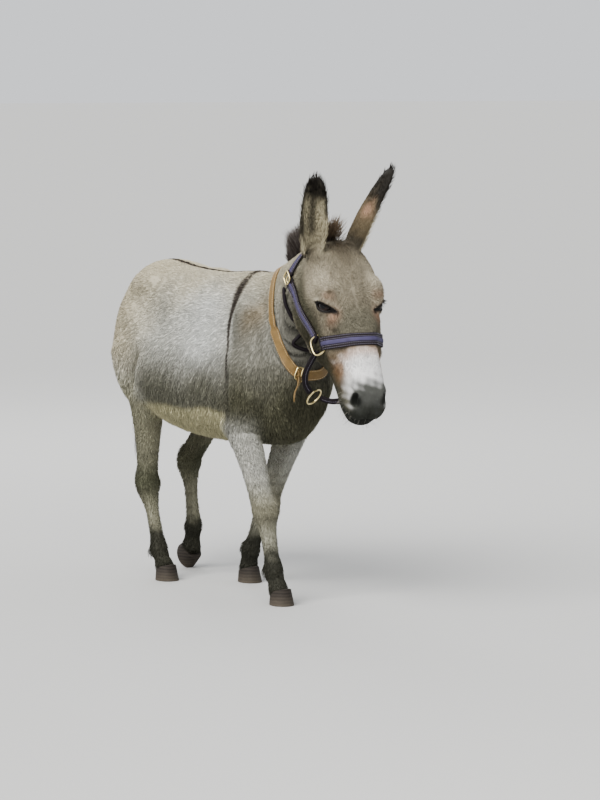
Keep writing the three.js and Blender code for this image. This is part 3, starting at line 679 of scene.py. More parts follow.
def shape_body(body):
    """Muscles, bones and hollows of trunk and legs."""
    for side in (-1, 1):
        for centre, sizes, lean, blend in MUSCLES:
            where = place((centre[0] * side, centre[1], centre[2]))
            lean = radians(lean)
            axes = ((1, 0, 0), (0, cos(lean), -sin(lean)), (0, sin(lean), cos(lean)))
            body.add_ball(where, np.array(sizes) * MM, blend * MM, axes)
    for name, joints in LEGS.items():
        fore = name.startswith("fore")
        joints = place(joints)
        down = unit(joints[3] - joints[2])
        ahead = unit(np.cross(down, (1, 0, 0)))
        joint, fetlock = joints[2:4]
        shank = (joint + fetlock) / 2
        if fore:
            forms = [(joint + (ahead * 16 - down * 4) * MM, (26, 18, 26), 14),
                     (joint + (-ahead * 26 + down * 2) * MM, (11, 10, 15), 12)]
        else:
            upper = unit(joint - joints[1])
            forms = [(joint - ahead * 24 * MM - upper * 22 * MM, (14, 15, 30), 14),
                     (joint + ahead * 8 * MM, (29, 22, 28), 12)]
        forms.append((fetlock - (ahead * 20 - down * 4) * MM, (13, 12, 15), 12))
        for side in (-1, 1):
            forms.append((shank + np.array([side * 23, 0, 0]) * MM - ahead * 6 * MM, (6, 4.5, 62), -7))
        for where, sizes, blend in forms:
            body.add_ball(where, np.array(sizes) * MM, blend * MM, np.array([(1, 0, 0), ahead, down]))


def neck_folds(along, out, across, z):
    """Folds of skin behind the jaw: waves on circles round the cheek. Gives the wave and how
    strongly it shows; lengths in metres."""
    ring = np.hypot(along - 0.18, out + 0.11)
    shown = step(0.118, 0.13, ring) * step(0.2, 0.165, ring) * step(0.02, 0.045, np.abs(across))
    shown = shown * step(0.87, 0.82, z) * step(0.6, 0.66, z) * step(0.24, 0.2, along)
    return np.sin(ring / 0.0112 * 2 * pi + across * 26), shown


def shape_neck(body):
    """Presses the folds behind the jaw into the skin."""
    window = body.window(place((-120, -330, 600)), place((120, -120, 880)))
    along, out, across = body.local(window, POLL, HEAD_AXES)
    _, _, z = body.places(window)
    wave, shown = neck_folds(along, out, across, z)
    body.values[window] += (0.0026 * wave * shown).astype(np.float32)


def head_ball(head, along, out, across, sizes, blend, tilt=0.0):
    """Adds a form to the head, or with a negative blend takes it away. Sizes are along the nose,
    out of the face and across it; tilt turns the first two, in degrees."""
    turn = radians(tilt)
    a, o, c = HEAD_AXES
    axes = np.array([a * cos(turn) + o * sin(turn), o * cos(turn) - a * sin(turn), c])
    head.add_ball(on_head(along, out, across), np.array(sizes) * MM, blend * MM, axes)


def eye_frame(side):
    """Centre of an eye and its axes: along the slit, up over it, and the way it looks."""
    centre = middle("eye_left" if side > 0 else "eye_right")
    along, out, across = HEAD_AXES
    gaze = unit(across * side * 0.84 + out * 0.42 + along * 0.26)
    tilt = radians(EYE_SLIT["tilt"])
    slit = along * cos(tilt) + out * sin(tilt)
    slit = square_to(slit, gaze)
    over = np.cross(gaze, slit)
    if over @ along > 0:
        over = -over
    return centre, slit, over, gaze


def shape_head(head):
    """Bones, cheeks, nostrils, lips and lids."""
    for side in (-1, 1):
        for along, out, across, *form in HEAD_PAIRS:
            head_ball(head, along, out, side * across, *form)
    for form in HEAD_MIDDLE:
        head_ball(head, *form)
    window = head.window(on_head(400, -60, 0) - 0.14, on_head(400, -60, 0) + 0.14)
    along, out, across = head.local(window, POLL, HEAD_AXES)
    mouth = -0.112 - 0.16 * (0.452 - along)
    lips = 0.0042 * bell(out - mouth, 0.0024) * step(0.372, 0.392, along)
    philtrum = 0.0016 * bell(across, 0.0035) * step(0.425, 0.445, along) * step(-0.112, -0.1, out)
    head.values[window] += (lips + philtrum).astype(np.float32)
    for side in (-1, 1):
        for along, out, across, *form in NOSTRIL:
            head_ball(head, along, out, side * across, *form)
        shape_lids(head, side)


def shape_lids(head, side):
    """Lids: the head swells over the eyeball, and a slit is cut through to it. The slit is where
    two circles through its corners meet, one for each lid. A fold runs round over the lids."""
    centre, slit, over, gaze = eye_frame(side)
    radius = EYE_RADIUS
    head.add_ball(centre, np.full(3, radius + 0.0032), 0.012)
    window = head.window(centre - 0.06, centre + 0.06)
    u, v, w = head.local(window, centre, (slit, over, gaze))
    far = np.sqrt(u * u + v * v + w * w)
    half, upper, lower = (EYE_SLIT[key] + 0.0025 for key in ("half", "upper", "lower"))
    above = (half ** 2 + upper ** 2) / (2 * upper)
    below = (half ** 2 + lower ** 2) / (2 * lower)
    opening = np.maximum(np.hypot(u, v - (upper - above)) - above, np.hypot(u, v + (lower - below)) - below)
    cutter = np.maximum(opening, 0.004 - w)
    part = head.values[window]
    near = step(radius + 0.016, radius + 0.007, far) * step(0.0, 0.006, w)
    folds = 0.0016 * bell(opening - 0.0085, 0.0016) + 0.0009 * bell(opening - 0.0135, 0.0014)
    rim = -0.0012 * bell(opening - 0.003, 0.002)
    part = part + (folds * np.where(v > 0, 1.0, 0.6) + rim) * near
    head.values[window] = -smooth_min(-part, cutter, 0.0016)


def whole_form(spacing):
    """The donkey's form out to its skin, on a grid of the given spacing."""
    low = np.array(CAD_BOX[0]) - 0.024
    high = np.array(CAD_BOX[1]) + 0.024
    coarse = spacing * 2
    count = np.ceil((high - low) / coarse).astype(int) + 1
    build_limbs(coarse, low)
    body = Field(low, coarse, np.full(count, REACH, np.float32))
    join_field(body, LIMBS["trunk"], 0.01, COAT_DEPTH["trunk"] * MM)
    join_field(body, LIMBS["neck"], 0.026, COAT_DEPTH["neck"] * MM)
    for name in LEGS:
        join_field(body, LIMBS[f"leg_{name}"], 0.024, COAT_DEPTH["leg"] * MM)
    join_field(body, LIMBS["tail"], 0.016, COAT_DEPTH["tail"] * MM)
    shape_body(body)
    body = finer(body)
    shape_neck(body)
    head = loft_field(head_grid(), spacing, 0.03, low)
    head.values += np.float32(COAT_DEPTH["head"] * MM)
    shape_head(head)
    join_field(body, head, 0.022)
    for side in EARS:
        join_field(body, loft_field(ear_grid(side), spacing, 0.02, low), 0.009, COAT_DEPTH["ear"] * MM)
    return body


# ---- meshes
def new_object(name, points, faces, material, replaces, slot):
    """A mesh object from an array of points and an array, or a list of arrays, of faces. It rides
    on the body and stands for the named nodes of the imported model, if there are any."""
    faces = faces if isinstance(faces, list) else [faces]
    faces = [part for part in faces if len(part)]
    mesh = bpy.data.meshes.new(name)
    mesh.vertices.add(len(points))
    mesh.vertices.foreach_set("co", np.ascontiguousarray(points, np.float32).ravel())
    sizes = np.concatenate([np.full(len(part), part.shape[1]) for part in faces])
    corners = np.concatenate([part.ravel() for part in faces])
    mesh.loops.add(len(corners))
    mesh.loops.foreach_set("vertex_index", corners.astype(np.int32))
    mesh.polygons.add(len(sizes))
    starts = np.concatenate([[0], np.cumsum(sizes)[:-1]])
    mesh.polygons.foreach_set("loop_start", starts.astype(np.int32))
    mesh.polygons.foreach_set("use_smooth", np.ones(len(sizes), bool))
    mesh.update(calc_edges=True)
    mesh.validate()
    piece = bpy.data.objects.new(name, mesh)
    bpy.context.scene.collection.objects.link(piece)
    mesh.materials.append(material)
    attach(piece, BODY)
    if replaces:
        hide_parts(*replaces)
    return piece


def paint(piece, name, colours):
    """Stores a colour for each point of a piece."""
    layer = piece.data.color_attributes.new(name, "FLOAT_COLOR", "POINT")
    rgba = np.ones((len(colours), 4), np.float32)
    rgba[:, :3] = colours
    layer.data.foreach_set("color", rgba.ravel())


def mesh_arrays(piece):
    """Points, point normals and triangles of a piece."""
    mesh = piece.data
    points = np.empty(len(mesh.vertices) * 3, np.float32)
    mesh.vertices.foreach_get("co", points)
    normals = np.empty(len(mesh.vertices) * 3, np.float32)
    mesh.vertex_normals.foreach_get("vector", normals)
    mesh.calc_loop_triangles()
    triangles = np.empty(len(mesh.loop_triangles) * 3, np.int32)
    mesh.loop_triangles.foreach_get("vertices", triangles)
    return points.reshape(-1, 3).astype(float), normals.reshape(-1, 3).astype(float), triangles.reshape(-1, 3)


def thinned(piece, triangles):
    """Thins a piece to a number of triangles."""
    piece.data.calc_loop_triangles()
    ratio = triangles / max(len(piece.data.loop_triangles), 1)
    if ratio >= 1:
        return
    points = mesh_arrays(piece)[0]
    along, _, _ = in_head(points).T
    plain = step(0.02, -0.1, along) * 0.3 + 0.7
    group = piece.vertex_groups.new(name="plain")
    for weight in np.unique(np.round(plain, 1)):
        group.add(np.flatnonzero(np.round(plain, 1) == weight).tolist(), float(weight), "REPLACE")
    modifier = piece.modifiers.new("thin", "DECIMATE")
    modifier.ratio = ratio
    modifier.vertex_group = group.name
    modifier.vertex_group_factor = 0.5
    evaluated = piece.evaluated_get(bpy.context.evaluated_depsgraph_get())
    mesh = bpy.data.meshes.new_from_object(evaluated)
    piece.modifiers.remove(modifier)
    old = piece.data
    piece.data = mesh
    bpy.data.meshes.remove(old)
    mesh.name = piece.name


FLESH = ("trunk", "neck", "head", "ear_left", "ear_right",
         "leg_fore_left", "leg_fore_right", "leg_hind_left", "leg_hind_right")


def build_skin(settings):
    """One skin over head, neck, trunk, legs, ears and dock: the zero surface of the whole form."""
    spacing = settings.voxel * 1
    form = whole_form(spacing)
    limit = np.float32(3 * spacing)
    np.clip(form.values, -limit, limit, out=form.values)
    grid = vdb.FloatGrid(float(limit))
    grid.copyFromArray(form.values)
    grid.transform = vdb.createLinearTransform(voxelSize=spacing)
    points, triangles, quads = grid.convertToPolygons(0.0, 0.0)
    points = np.asarray(points, float) + form.origin
    faces = [outward(points, np.asarray(quads, int))]
    if len(triangles):
        faces.append(np.asarray(triangles, int))
    skin = new_object("skin", points, faces, finish("skin", "coat"), FLESH, "coat")
    thinned(skin, settings.skin_triangles)
    skin.data.polygons.foreach_set("use_smooth", np.ones(len(skin.data.polygons), bool))
    points, normals, _ = mesh_arrays(skin)
    # The skin takes the coat's colour at 0.8: painted shade at the foot of the tufts.
    paint(skin, "coat", coat_colour(points, normals, limb_weights(points), settings) * 0.8)
    return skin


# ---- lie and colours of the coat
def limb_weights(points):
    """How much each point belongs to each limb, from the distances to the limbs."""
    names = list(LIMBS)
    distance = np.stack([LIMBS[name].sample(points) for name in names])
    for row, name in enumerate(names):
        field = LIMBS[name]
        high = field.origin + (np.array(field.values.shape) - 1) * field.spacing
        outside = ((points < field.origin) | (points > high)).any(1)
        distance[row, outside] = REACH * 2
    weight = np.exp(-(distance - distance.min(0)) / 0.009)
    weight /= weight.sum(0)
    weights = dict(zip(names, weight))
    for name in names:
        if name.startswith("leg_fore"):
            fade = step(0.53, 0.43, points[:, 2])
        elif name.startswith("leg_hind"):
            fade = step(0.6, 0.46, points[:, 2])
        elif name == "neck":
            fade = step(-0.04, -0.14, points[:, 1])
        else:
            continue
        weights["trunk"] = weights["trunk"] + weights[name] * (1 - fade)
        weights[name] = weights[name] * fade
    return weights


def leg_share(points, name):
    """The place on a leg's centre line that is level with each point, and its directions down
    the leg and ahead."""
    rows = leg_line(name)
    centres = place(rows[:, :3])
    down, ahead, _ = limb_frames(centres)
    height = np.clip(np.searchsorted(-centres[:, 2], -points[:, 2]), 0, len(centres) - 1)
    return centres[height], down[height], ahead[height]


def coat_lie(points, normals, weights):
    """Direction in which the hair lies: backwards over the trunk and down its sides, down the
    legs, up the forehead and down the nose from a whorl between the eyes, and up the ears."""
    x, y, z = points.T
    lie = np.zeros_like(points)
    side = step(0.86, 0.7, z)
    front = step(-0.15, -0.23, y)
    low = step(0.7, 0.58, z)
    trunk = columns(0 * x, 0.95 - 0.35 * side - 0.42 * low - 0.5 * front,
                    -0.06 - 0.5 * side - 0.45 * low - 0.5 * front)
    lie += trunk * weights["trunk"][:, None]
    neck = columns(0 * x, 0.62 - 0.2 * side, -0.35 - 0.45 * side)
    lie += neck * weights["neck"][:, None]
    lie += np.array([0, 0.1, -1.0]) * weights["tail"][:, None]
    along, out, across = in_head(points).T
    whorl = step(0.125, 0.165, along)
    cheek = step(-0.03, -0.075, out)
    down_nose = (whorl * 1.6 - 0.8)[:, None] * HEAD_AXES[0] - (0.9 * cheek)[:, None] * HEAD_AXES[1]
    spread = (np.sign(across) * 0.45 * bell(along - 0.145, 0.05))[:, None] * HEAD_AXES[2]
    lie += (down_nose + spread - cheek[:, None] * HEAD_AXES[0] * 0.3) * weights["head"][:, None]
    for name in LEGS:
        _, down, _ = leg_share(points, name)
        lie += down * weights[f"leg_{name}"][:, None]
    for side_name in EARS:
        _, axis, _, _, _ = ear_frame(side_name)
        lie += axis * weights[f"ear_{side_name}"][:, None]
    lie += unit(np.cross(normals, (0.3, 0.9, 0.2))) * 0.02
    return square_to(lie, normals)


COLOURS = {
    # Pale grey behind the shoulder cross: paler coat with a painted daylight highlight.
    "pale_side_and_highlight": (0.66, 0.668, 0.655),
    "shoulder": (0.27, 0.262, 0.22),
    "brown": (0.235, 0.19, 0.125),
    # Darker lower barrel: painted shade under the barrel's curve.
    "lower_side_shade": (0.165, 0.162, 0.125),
    "thigh": (0.345, 0.332, 0.245),
    "leg": (0.32, 0.31, 0.235),
    "knee": (0.25, 0.236, 0.172),
    # Dark hocks: darker hair with painted shade.
    "hock_and_shade": (0.083, 0.087, 0.055),
    # Dark breast: painted shade between the forelegs and under the neck.
    "breast": (0.125, 0.122, 0.08),
    "fetlock": (0.036, 0.036, 0.028),
    "forehead": (0.26, 0.232, 0.175),
    "temple": (0.47, 0.425, 0.335),
    "bridge": (0.175, 0.165, 0.125),
    # Dark cheeks and jaw: painted shade.
    "cheek": (0.068, 0.067, 0.044),
    "muzzle_white": (0.93, 0.925, 0.92),
    # Dark grey lower muzzle: dark skin with painted shade.
    "muzzle_grey": (0.04, 0.043, 0.034),
    "lips": (0.018, 0.02, 0.016),
    "nose_brown": (0.25, 0.155, 0.085),
    "rust": (0.34, 0.215, 0.15),
    "lid": (0.014, 0.012, 0.012),
    "ear_back": (0.14, 0.112, 0.07),
    "ear_dark": (0.026, 0.023, 0.019),
    "ear_inside": (0.5, 0.455, 0.33),
}


def tone(name):
    """A named colour, or one given by its numbers, as an array."""
    return np.array(COLOURS[name] if isinstance(name, str) else name)


def layered(colour, *layers):
    """A colour with others laid over it in turn, each where its mask is one."""
    colour = np.atleast_2d(tone(colour))
    for over, mask in layers:
        colour = mix(colour, tone(over), mask)
    return colour


def body_colour(points, normals, settings):
    """Grey flanks, a pale patch behind the shoulder cross that is paler coat with a painted highlight, beige
    back and croup, lower sides and breast darkened with painted shade, cream belly. Painted shade also
    darkens the throat, the crease between breast and foreleg and the folds behind the jaw."""
    _, y, z = points.T
    patches = waves(points, 0.16, 3)
    uneven = z + 0.02 * patches
    low = step(0.5, 0.484, z + 0.006 * patches) * step(-0.075, -0.045, y) * step(0.34, 0.26, y)
    under = step(-0.35, -0.8, normals[:, 2]) * step(0.56, 0.46, z) * step(-0.04, 0.03, y)
    colour = layered(
        settings.grey,
        (settings.beige, step(0.7, 0.86, uneven) * 0.8),
        (settings.beige, step(0.16, 0.4, y) * step(0.48, 0.66, z) * 0.9),
        # Pale patch behind the shoulder cross: paler coat with a painted highlight.
        ("pale_side_and_highlight", bell(y - 0.035, 0.075) * step(0.55, 0.66, z) * step(0.85, 0.76, z) * 0.75),
        # Lower barrel darkened: painted shade.
        ("lower_side_shade", step(0.655, 0.525, uneven) * step(0.36, 0.22, y) * 0.92),
        ("shoulder", step(-0.03, -0.1, y) * step(0.86, 0.72, z) * 0.8),
        ("brown", bell(y + 0.14, 0.026) * bell(z - 0.745, 0.055) * 0.7),
        ("thigh", step(0.6, 0.5, z) * step(0.26, 0.36, y) * 0.85),
        # Breast darkened with painted shade.
        ("breast", step(0.02, -0.12, y + 0.3 * (z - 0.5)) * step(0.66, 0.49, uneven) * 0.9),
        (settings.cream, np.maximum(under, low) * 0.95))
    # Painted shade in the crease between breast and foreleg.
    crease_shade = bell(y + 0.073 + 0.04 * (z - 0.53), 0.011) * step(0.62, 0.58, z) * step(0.43, 0.46, z)
    wave, shown = neck_folds(*in_head(points).T, z)
    streaks = waves(points * np.array((3.5, 3.5, 0.6)), 0.035, 22) * step(0.7, 0.58, z)
    throat = step(-0.2, -0.26, y) * step(0.93, 0.84, z)
    # Painted shade in the grooves of the neck folds, over the fold zone, and in the throat under the jaw.
    shade = 1 - 0.22 * shown * step(-0.3, 0.8, wave) - 0.35 * crease_shade - 0.34 * throat - 0.1 * shown
    return colour * np.maximum(shade + 0.16 * streaks, 0.1)[:, None]


def stripe_mask(points, normals):
    """The dark line along the back and the cross over the shoulders."""
    x, y, z = points.T
    wobble = 0.0018 * waves(points, 0.05, 5)
    back = step(0.0125, 0.007, np.abs(x) + wobble) * step(0.0, 0.3, normals[:, 2]) * step(-0.1, -0.06, y)
    narrow = mix(0.0125, 0.0034, step(0.83, 0.66, z))
    line = np.abs(y - (-0.069 + 0.145 * (z - 0.588)) + wobble)
    cross = step(narrow * 1.35, narrow * 0.6, line) * step(0.565, 0.61, z)
    return np.maximum(back, cross * 0.95)


def almond(u, v, length, height):
    """Measure from an eye's middle that is one on an almond of half the length and height."""
    return np.abs(v + 0.0012) / height + np.abs(u / length) ** 1.7


def eye_colour(colour, points, side):
    """Pale almond round an eye, rust spots under and over it, dark margins of the lids, and a dark inner
    corner that is wet tissue with painted shade.
    """
    centre, *axes = eye_frame(side)
    u, v, w = ((points - centre) @ axis for axis in axes)
    facing = step(-0.012, 0.004, w)
    pale = bell(almond(u, v - 0.002, 0.04, 0.0185) - 1.05, 0.22) * step(-0.002, 0.006, v)
    spots = bell(np.hypot(u - 0.034, (v + 0.016) * 0.6), 0.016)
    spots = spots + 0.6 * bell(np.hypot(u - 0.006, v - 0.03), 0.014)
    tear = np.hypot((u - 0.033) * 0.6, (v + 0.006) * 1.2)
    return layered(
        colour,
        ("temple", pale * facing * 0.8),
        ("rust", np.minimum(spots, 1) * facing * 0.75),
        ("lid", step(1.16, 0.92, almond(u, v, 0.038, 0.0135)) * facing),
        # Inner corner: dark wet tissue with painted shade.
        ("lid", step(0.009, 0.003, tear) * facing * 0.8))


def head_colour(points, normals, settings):
    """Grey-brown face, paler brows and temples, dark eye margins, a white band round the nose, dark
    lips. The cheeks are darkened with painted shade; the lower front of the muzzle and the nostrils are dark
    skin with painted shade."""
    along, out, across = in_head(points).T
    wide = np.abs(across)
    spots = waves(points, 0.03, 9)
    brow = bell(along - 0.105, 0.034) * bell(wide - 0.07, 0.03) * step(-0.1, -0.05, out)
    colour = layered(
        "forehead",
        # Cheeks and jaw darkened: painted shade.
        ("cheek", step(-0.045, -0.1, out) * 0.85),
        ("bridge", step(0.16, 0.22, along) * step(-0.07, -0.03, out) * 0.85),
        ("temple", np.minimum(brow * 0.9, 1)),
        ("temple", step(-0.165, -0.215, out) * 0.6))
    for side in (-1, 1):
        colour = eye_colour(colour, points, side)
    white = step(0.288, 0.312, along + 0.004 * spots) * step(-0.098, -0.05, out + 0.012 * spots)
    band = bell(along - 0.306, 0.016) * step(-0.07, -0.04, out)
    sides = bell(along - 0.33, 0.036) * bell(out + 0.072, 0.034) * step(0.034, 0.056, wide + 0.006 * spots)
    flecks = step(0.2, 1.0, waves(points, 0.01, 14)) * bell(along - 0.4, 0.035) * bell(out + 0.095, 0.03)
    low = 0.8387 * along - 0.5446 * out + 0.01 * spots
    near = step(0.041, 0.052, wide + 0.004 * spots) * step(0.45, 0.425, along) * step(-0.15, -0.132, out)
    nostril = norm(points[:, None] - on_head(421, -62, np.array([-39, 39])), axis=2).min(1)
    lips = step(0.024, 0.006, np.abs(out + 0.122)) * step(0.37, 0.41, along)
    spot = norm(points - on_head(148, 4, -68), axis=1)
    colour = layered(
        colour,
        ("muzzle_white", white * 0.95),
        (tone("rust") * 1.7, band * 0.5),
        ("nose_brown", np.minimum(sides * 1.2, 1) * 0.9),
        # Lower front of the muzzle: dark skin with painted shade.
        ("muzzle_grey", step(0.318, 0.362, low) * (1 - 0.68 * near) * 0.93),
        ("bridge", flecks * near * 0.8),
        ("muzzle_white", flecks * (1 - near) * 0.2),
        # Nostrils: dark skin with painted shade in their hollows.
        (tone("lips") * 0.7, step(0.021, 0.011, nostril)),
        ("lips", np.maximum(lips, step(0.425, 0.45, along) * 0.6) * 0.85),
        (tone("brown") * 0.5, step(0.01, 0.003, spot) * 0.8))
    combed = waves(points + HEAD_AXES[0] * (-0.6 * along)[:, None], 0.012, 41)
    colour = colour * (1 + 0.09 * combed * step(0.24, 0.16, along))[:, None]
    streak = bell(along - 0.012 - 0.25 * across, 0.022) * bell(across + 0.004, 0.006) * step(-0.03, 0, out)
    return layered(colour, (tone("brown") * 0.6, streak * 0.7))


def leg_colour(points, normals, name, settings):
    """Grey-brown legs, a little cream on the inner side, brown knees with faint bars, dark hocks that are
    partly painted shade, painted shade on the inner side and the back of each leg, dark pasterns.
    """
    fore = name.startswith("fore")
    upper = place(LEGS[name])
    ahead = leg_share(points, name)[2]
    inner = step(0.15, 0.8, normals[:, 0] * -np.sign(upper[0, 0]))
    front = dots(normals, ahead)[:, 0]
    z = points[:, 2]
    over_knee = z - upper[2, 2]
    colour = layered(
        settings.grey if fore else "thigh",
        ("leg", step(0.36, 0.22, z) * 0.8 if fore else step(0.48, 0.26, z) * 0.9),
        ("knee", bell(over_knee, 0.045) * (0.8 if fore else 0.3)))
    bars = step(0.2, 0.9, np.sin((z + 0.006 * waves(points, 0.05, 8)) / 0.03 * 2 * pi))
    colour = colour * (1 - 0.22 * bars * bell(over_knee - 0.06, 0.06) * step(-0.9, 0.4, front))[:, None]
    if not fore:
        # Hocks: darker hair with painted shade.
        colour = layered(colour, ("hock_and_shade", bell(over_knee - 0.01, 0.055) * 0.85))
    # Inner side: a little cream, then darkened to 0.7 as painted shade between the legs.
    colour = layered(colour, (settings.cream, inner * step(0.2, 0.32, z) * 0.15)) * (1 - 0.3 * inner)[:, None]
    # Back of the leg darkened: painted shade.
    colour = colour * (1 - 0.5 * step(0.2, -0.7, front) * (0.6 if fore else 1.0))[:, None]
    return layered(colour, ("fetlock", step(0.165, 0.115, z + 0.01 * waves(points, 0.04, 6)) * 0.92))


def ear_colour(points, normals, side):
    """Tan backs, black tips, rims and roots; inside, cream hair with a dark streak down the
    rear half of the cup."""
    root, axis, length, front, across = ear_frame(side)
    share = ((points - root) @ axis) / length
    inside = step(0.05, 0.5, normals @ front) * step(0.03, 0.08, share)
    table = np.array(EAR_SECTIONS)
    half = np.interp(share, table[:, 0], table[:, 1]) * MM
    wide = (points - root) @ across * (-1 if side == "left" else 1) / half
    wobble = 0.03 * waves(points, 0.025, 12)
    streak = bell(wide + 0.18, 0.34) * step(0.18, 0.34, share) * inside
    rim_from = np.where(wide < 0, step(0.12, 0.3, share), step(0.42, 0.58, share))
    blush = bell(share - 0.48, 0.08) * bell(wide - 0.3, 0.5)
    return layered(
        "ear_back",
        ("ear_dark", step(0.3, 0.1, share + wobble) * (1 - inside) * 0.8),
        ("ear_inside", inside),
        ("ear_dark", streak * 0.75),
        (tone("rust") * 1.3, blush * (1 - inside) * 0.7),
        ("ear_dark", step(0.7, 0.92, np.abs(wide) + wobble) * rim_from * 0.9),
        ("ear_dark", step(0.54, 0.68, share + wobble - 0.12 * inside)))


def coat_colour(points, normals, weights, settings):
    """Colour of the coat at each point, mixed from the colours of the limbs."""
    dark = np.array(settings.dark)
    colour = np.zeros_like(points)

    def add(names, paint_limb):
        """Adds the colours of some limbs where they count."""
        weight = sum(weights[name] for name in names)
        there = weight > 0.004
        colour[there] += paint_limb(points[there], normals[there]) * weight[there, None]

    def body(p, n):
        return body_colour(p, n, settings)

    add(("trunk", "neck"), body)
    add(("head",), lambda p, n: head_colour(p, n, settings))
    add(("tail",), lambda p, n: mix(body(p, n), dark, step(0.62, 0.5, p[:, 2])))
    for name in LEGS:
        add((f"leg_{name}",), lambda p, n, name=name: mix(
            leg_colour(p, n, name, settings), body(p, n), step(0.455, 0.535, p[:, 2])))
    for side in EARS:
        add((f"ear_{side}",), lambda p, n, side=side: ear_colour(p, n, side))
    total = sum(weights.values())
    tips = step(1.085, 1.1, points[:, 2]) * (points[:, 1] < -0.2)
    stripe = stripe_mask(points, normals) * (weights["trunk"] + weights["tail"] + weights["neck"]) / total
    colour = mix(mix(colour / total[:, None], tone("ear_dark"), tips), dark, stripe)
    return colour * (1 + 0.06 * waves(points, 0.045, 21))[:, None]


# ---- materials
# roughness, specular level, grain (scale, contrast, bump, distance) and, where the finish wears,
# how far the grain swings and how much smoother and rougher it gets
FINISHES = {
    "skin": (0.75, 0.25, (520, 0.5, 0.7, 0.002)),
    "coat_hair": (0.8, 0.12, (900, 0.35, 0.25, 0.0006)),
    "long_hair": (0.55, 0.35, (900, 0.35, 0.25, 0.0006)),
    "lash": (0.5, 0.4, (1500, 0.3, 0.1, 0.0002)),
    "eyeball": (0.16, 0.3, (1400, 0.7, 0.02, 0.0002)),
    "lid": (0.42, 0.5, (1600, 0.5, 0.5, 0.0005)),
    "horn": (0.65, 0.15, (420, 0.5, 0.4, 0.001)),
    "halter_leather": (0.6, 0.12, (900, 0.35, 0.35, 0.0005), (0.15, 0.12, 0.16)),
    "halter_padding": (0.65, 0.12, (900, 0.35, 0.35, 0.0005), (0.15, 0.12, 0.16)),
    "collar_leather": (0.5, 0.4, (900, 0.35, 0.35, 0.0005), (0.15, 0.12, 0.16)),
    "halter_thread": (0.8, 0.3, (2500, 0.3, 0.4, 0.0002)),
    "collar_thread": (0.8, 0.3, (2500, 0.3, 0.4, 0.0002)),
    "brass": (0.28, 0.5, (500, 0.3, 0.08, 0.0003), (0.2, 0.1, 0.14)),
    "floor": (0.9, 0.2),
}


def add_node(tree, kind, inputs=None, **traits):
    """A shader node with its traits. An input takes a plain value or another node's socket."""
    node = tree.nodes.new(f"ShaderNode{kind}")
    for key, value in traits.items():
        setattr(node, key, value)
    for label, value in (inputs or {}).items():
        if isinstance(value, bpy.types.NodeSocket):
            tree.links.new(value, node.inputs[label])
        else:
            node.inputs[label].default_value = value
    return node


def grain_group():
    """Two sizes of noise on Object coordinates: a value about 1 to multiply a colour by, and a
    height for a bump."""
    if "grain" in bpy.data.node_groups:
        return bpy.data.node_groups["grain"]
    group = bpy.data.node_groups.new("grain", "ShaderNodeTree")
    for label, way in (("Scale", "INPUT"), ("Contrast", "INPUT"), ("Value", "OUTPUT"), ("Height", "OUTPUT")):
        group.interface.new_socket(name=label, in_out=way, socket_type="NodeSocketFloat")
    inlet = group.nodes.new("NodeGroupInput").outputs
    outlet = group.nodes.new("NodeGroupOutput").inputs
    where = add_node(group, "TexCoord").outputs["Object"]
    fine = add_node(group, "TexNoise", {"Vector": where, "Scale": inlet["Scale"], "Detail": 4}).outputs["Fac"]
    wider = add_node(group, "Math", {0: inlet["Scale"], 1: 0.08}, operation="MULTIPLY").outputs[0]
    broad = add_node(group, "TexNoise", {"Vector": where, "Scale": wider, "Detail": 3}).outputs["Fac"]
    both = add_node(group, "Math", {0: fine, 1: broad}, operation="ADD").outputs[0]
    centred = add_node(group, "Math", {0: both, 1: 1}, operation="SUBTRACT").outputs[0]
    value = add_node(group, "Math", {0: centred, 1: inlet["Contrast"], 2: 1}, operation="MULTIPLY_ADD")
    group.links.new(value.outputs[0], outlet["Value"])
    group.links.new(fine, outlet["Height"])
    return group


def add_grain(tree, shader, colour, scale, contrast, bump, distance):
    """Puts the grain group between a colour and the shader, with a bump of its fine noise."""
    grain = add_node(tree, "Group", {"Scale": scale, "Contrast": contrast}, node_tree=grain_group()).outputs
    shade = add_node(tree, "VectorMath", {0: colour, "Scale": grain["Value"]}, operation="SCALE")
    relief = add_node(tree, "Bump", {"Strength": bump, "Distance": distance, "Height": grain["Height"]})
    tree.links.new(shade.outputs[0], shader.inputs["Base Color"])
    tree.links.new(relief.outputs[0], shader.inputs["Normal"])
    return grain["Value"]


def horn_colour(tree):
    """Dark grey-brown with paler growth rings, dusty towards the sole."""
    where = add_node(tree, "TexCoord").outputs["Object"]
    height = add_node(tree, "SeparateXYZ", {0: where}).outputs["Z"]
    rings = add_node(tree, "TexWave", {"Vector": where, "Scale": 38, "Distortion": 3, "Detail": 3},
                     wave_type="BANDS", bands_direction="Z").outputs["Color"]
    dust = add_node(tree, "MapRange", {"Value": height, "From Max": 0.03, "To Min": 0.4, "To Max": 0})
    horn = add_node(tree, "Mix", data_type="RGBA", inputs={
        "Factor": rings, "A": (0.03, 0.026, 0.023, 1), "B": (0.048, 0.041, 0.035, 1)})
    return add_node(tree, "Mix", data_type="RGBA", inputs={
        "Factor": dust.outputs["Result"], "A": horn.outputs["Result"], "B": (0.15, 0.128, 0.1, 1)})


def patchy_colour(tree, colour, scale):
    """One colour, darker and lighter in broad patches."""
    where = add_node(tree, "TexCoord").outputs["Object"]
    patches = add_node(tree, "TexNoise", {"Vector": where, "Scale": scale * 0.12, "Detail": 5})
    return add_node(tree, "Mix", data_type="RGBA", inputs={
        "Factor": patches.outputs["Fac"], "A": (*(0.62 * v for v in colour), 1),
        "B": (*(min(1.3 * v, 1.0) for v in colour), 1)})


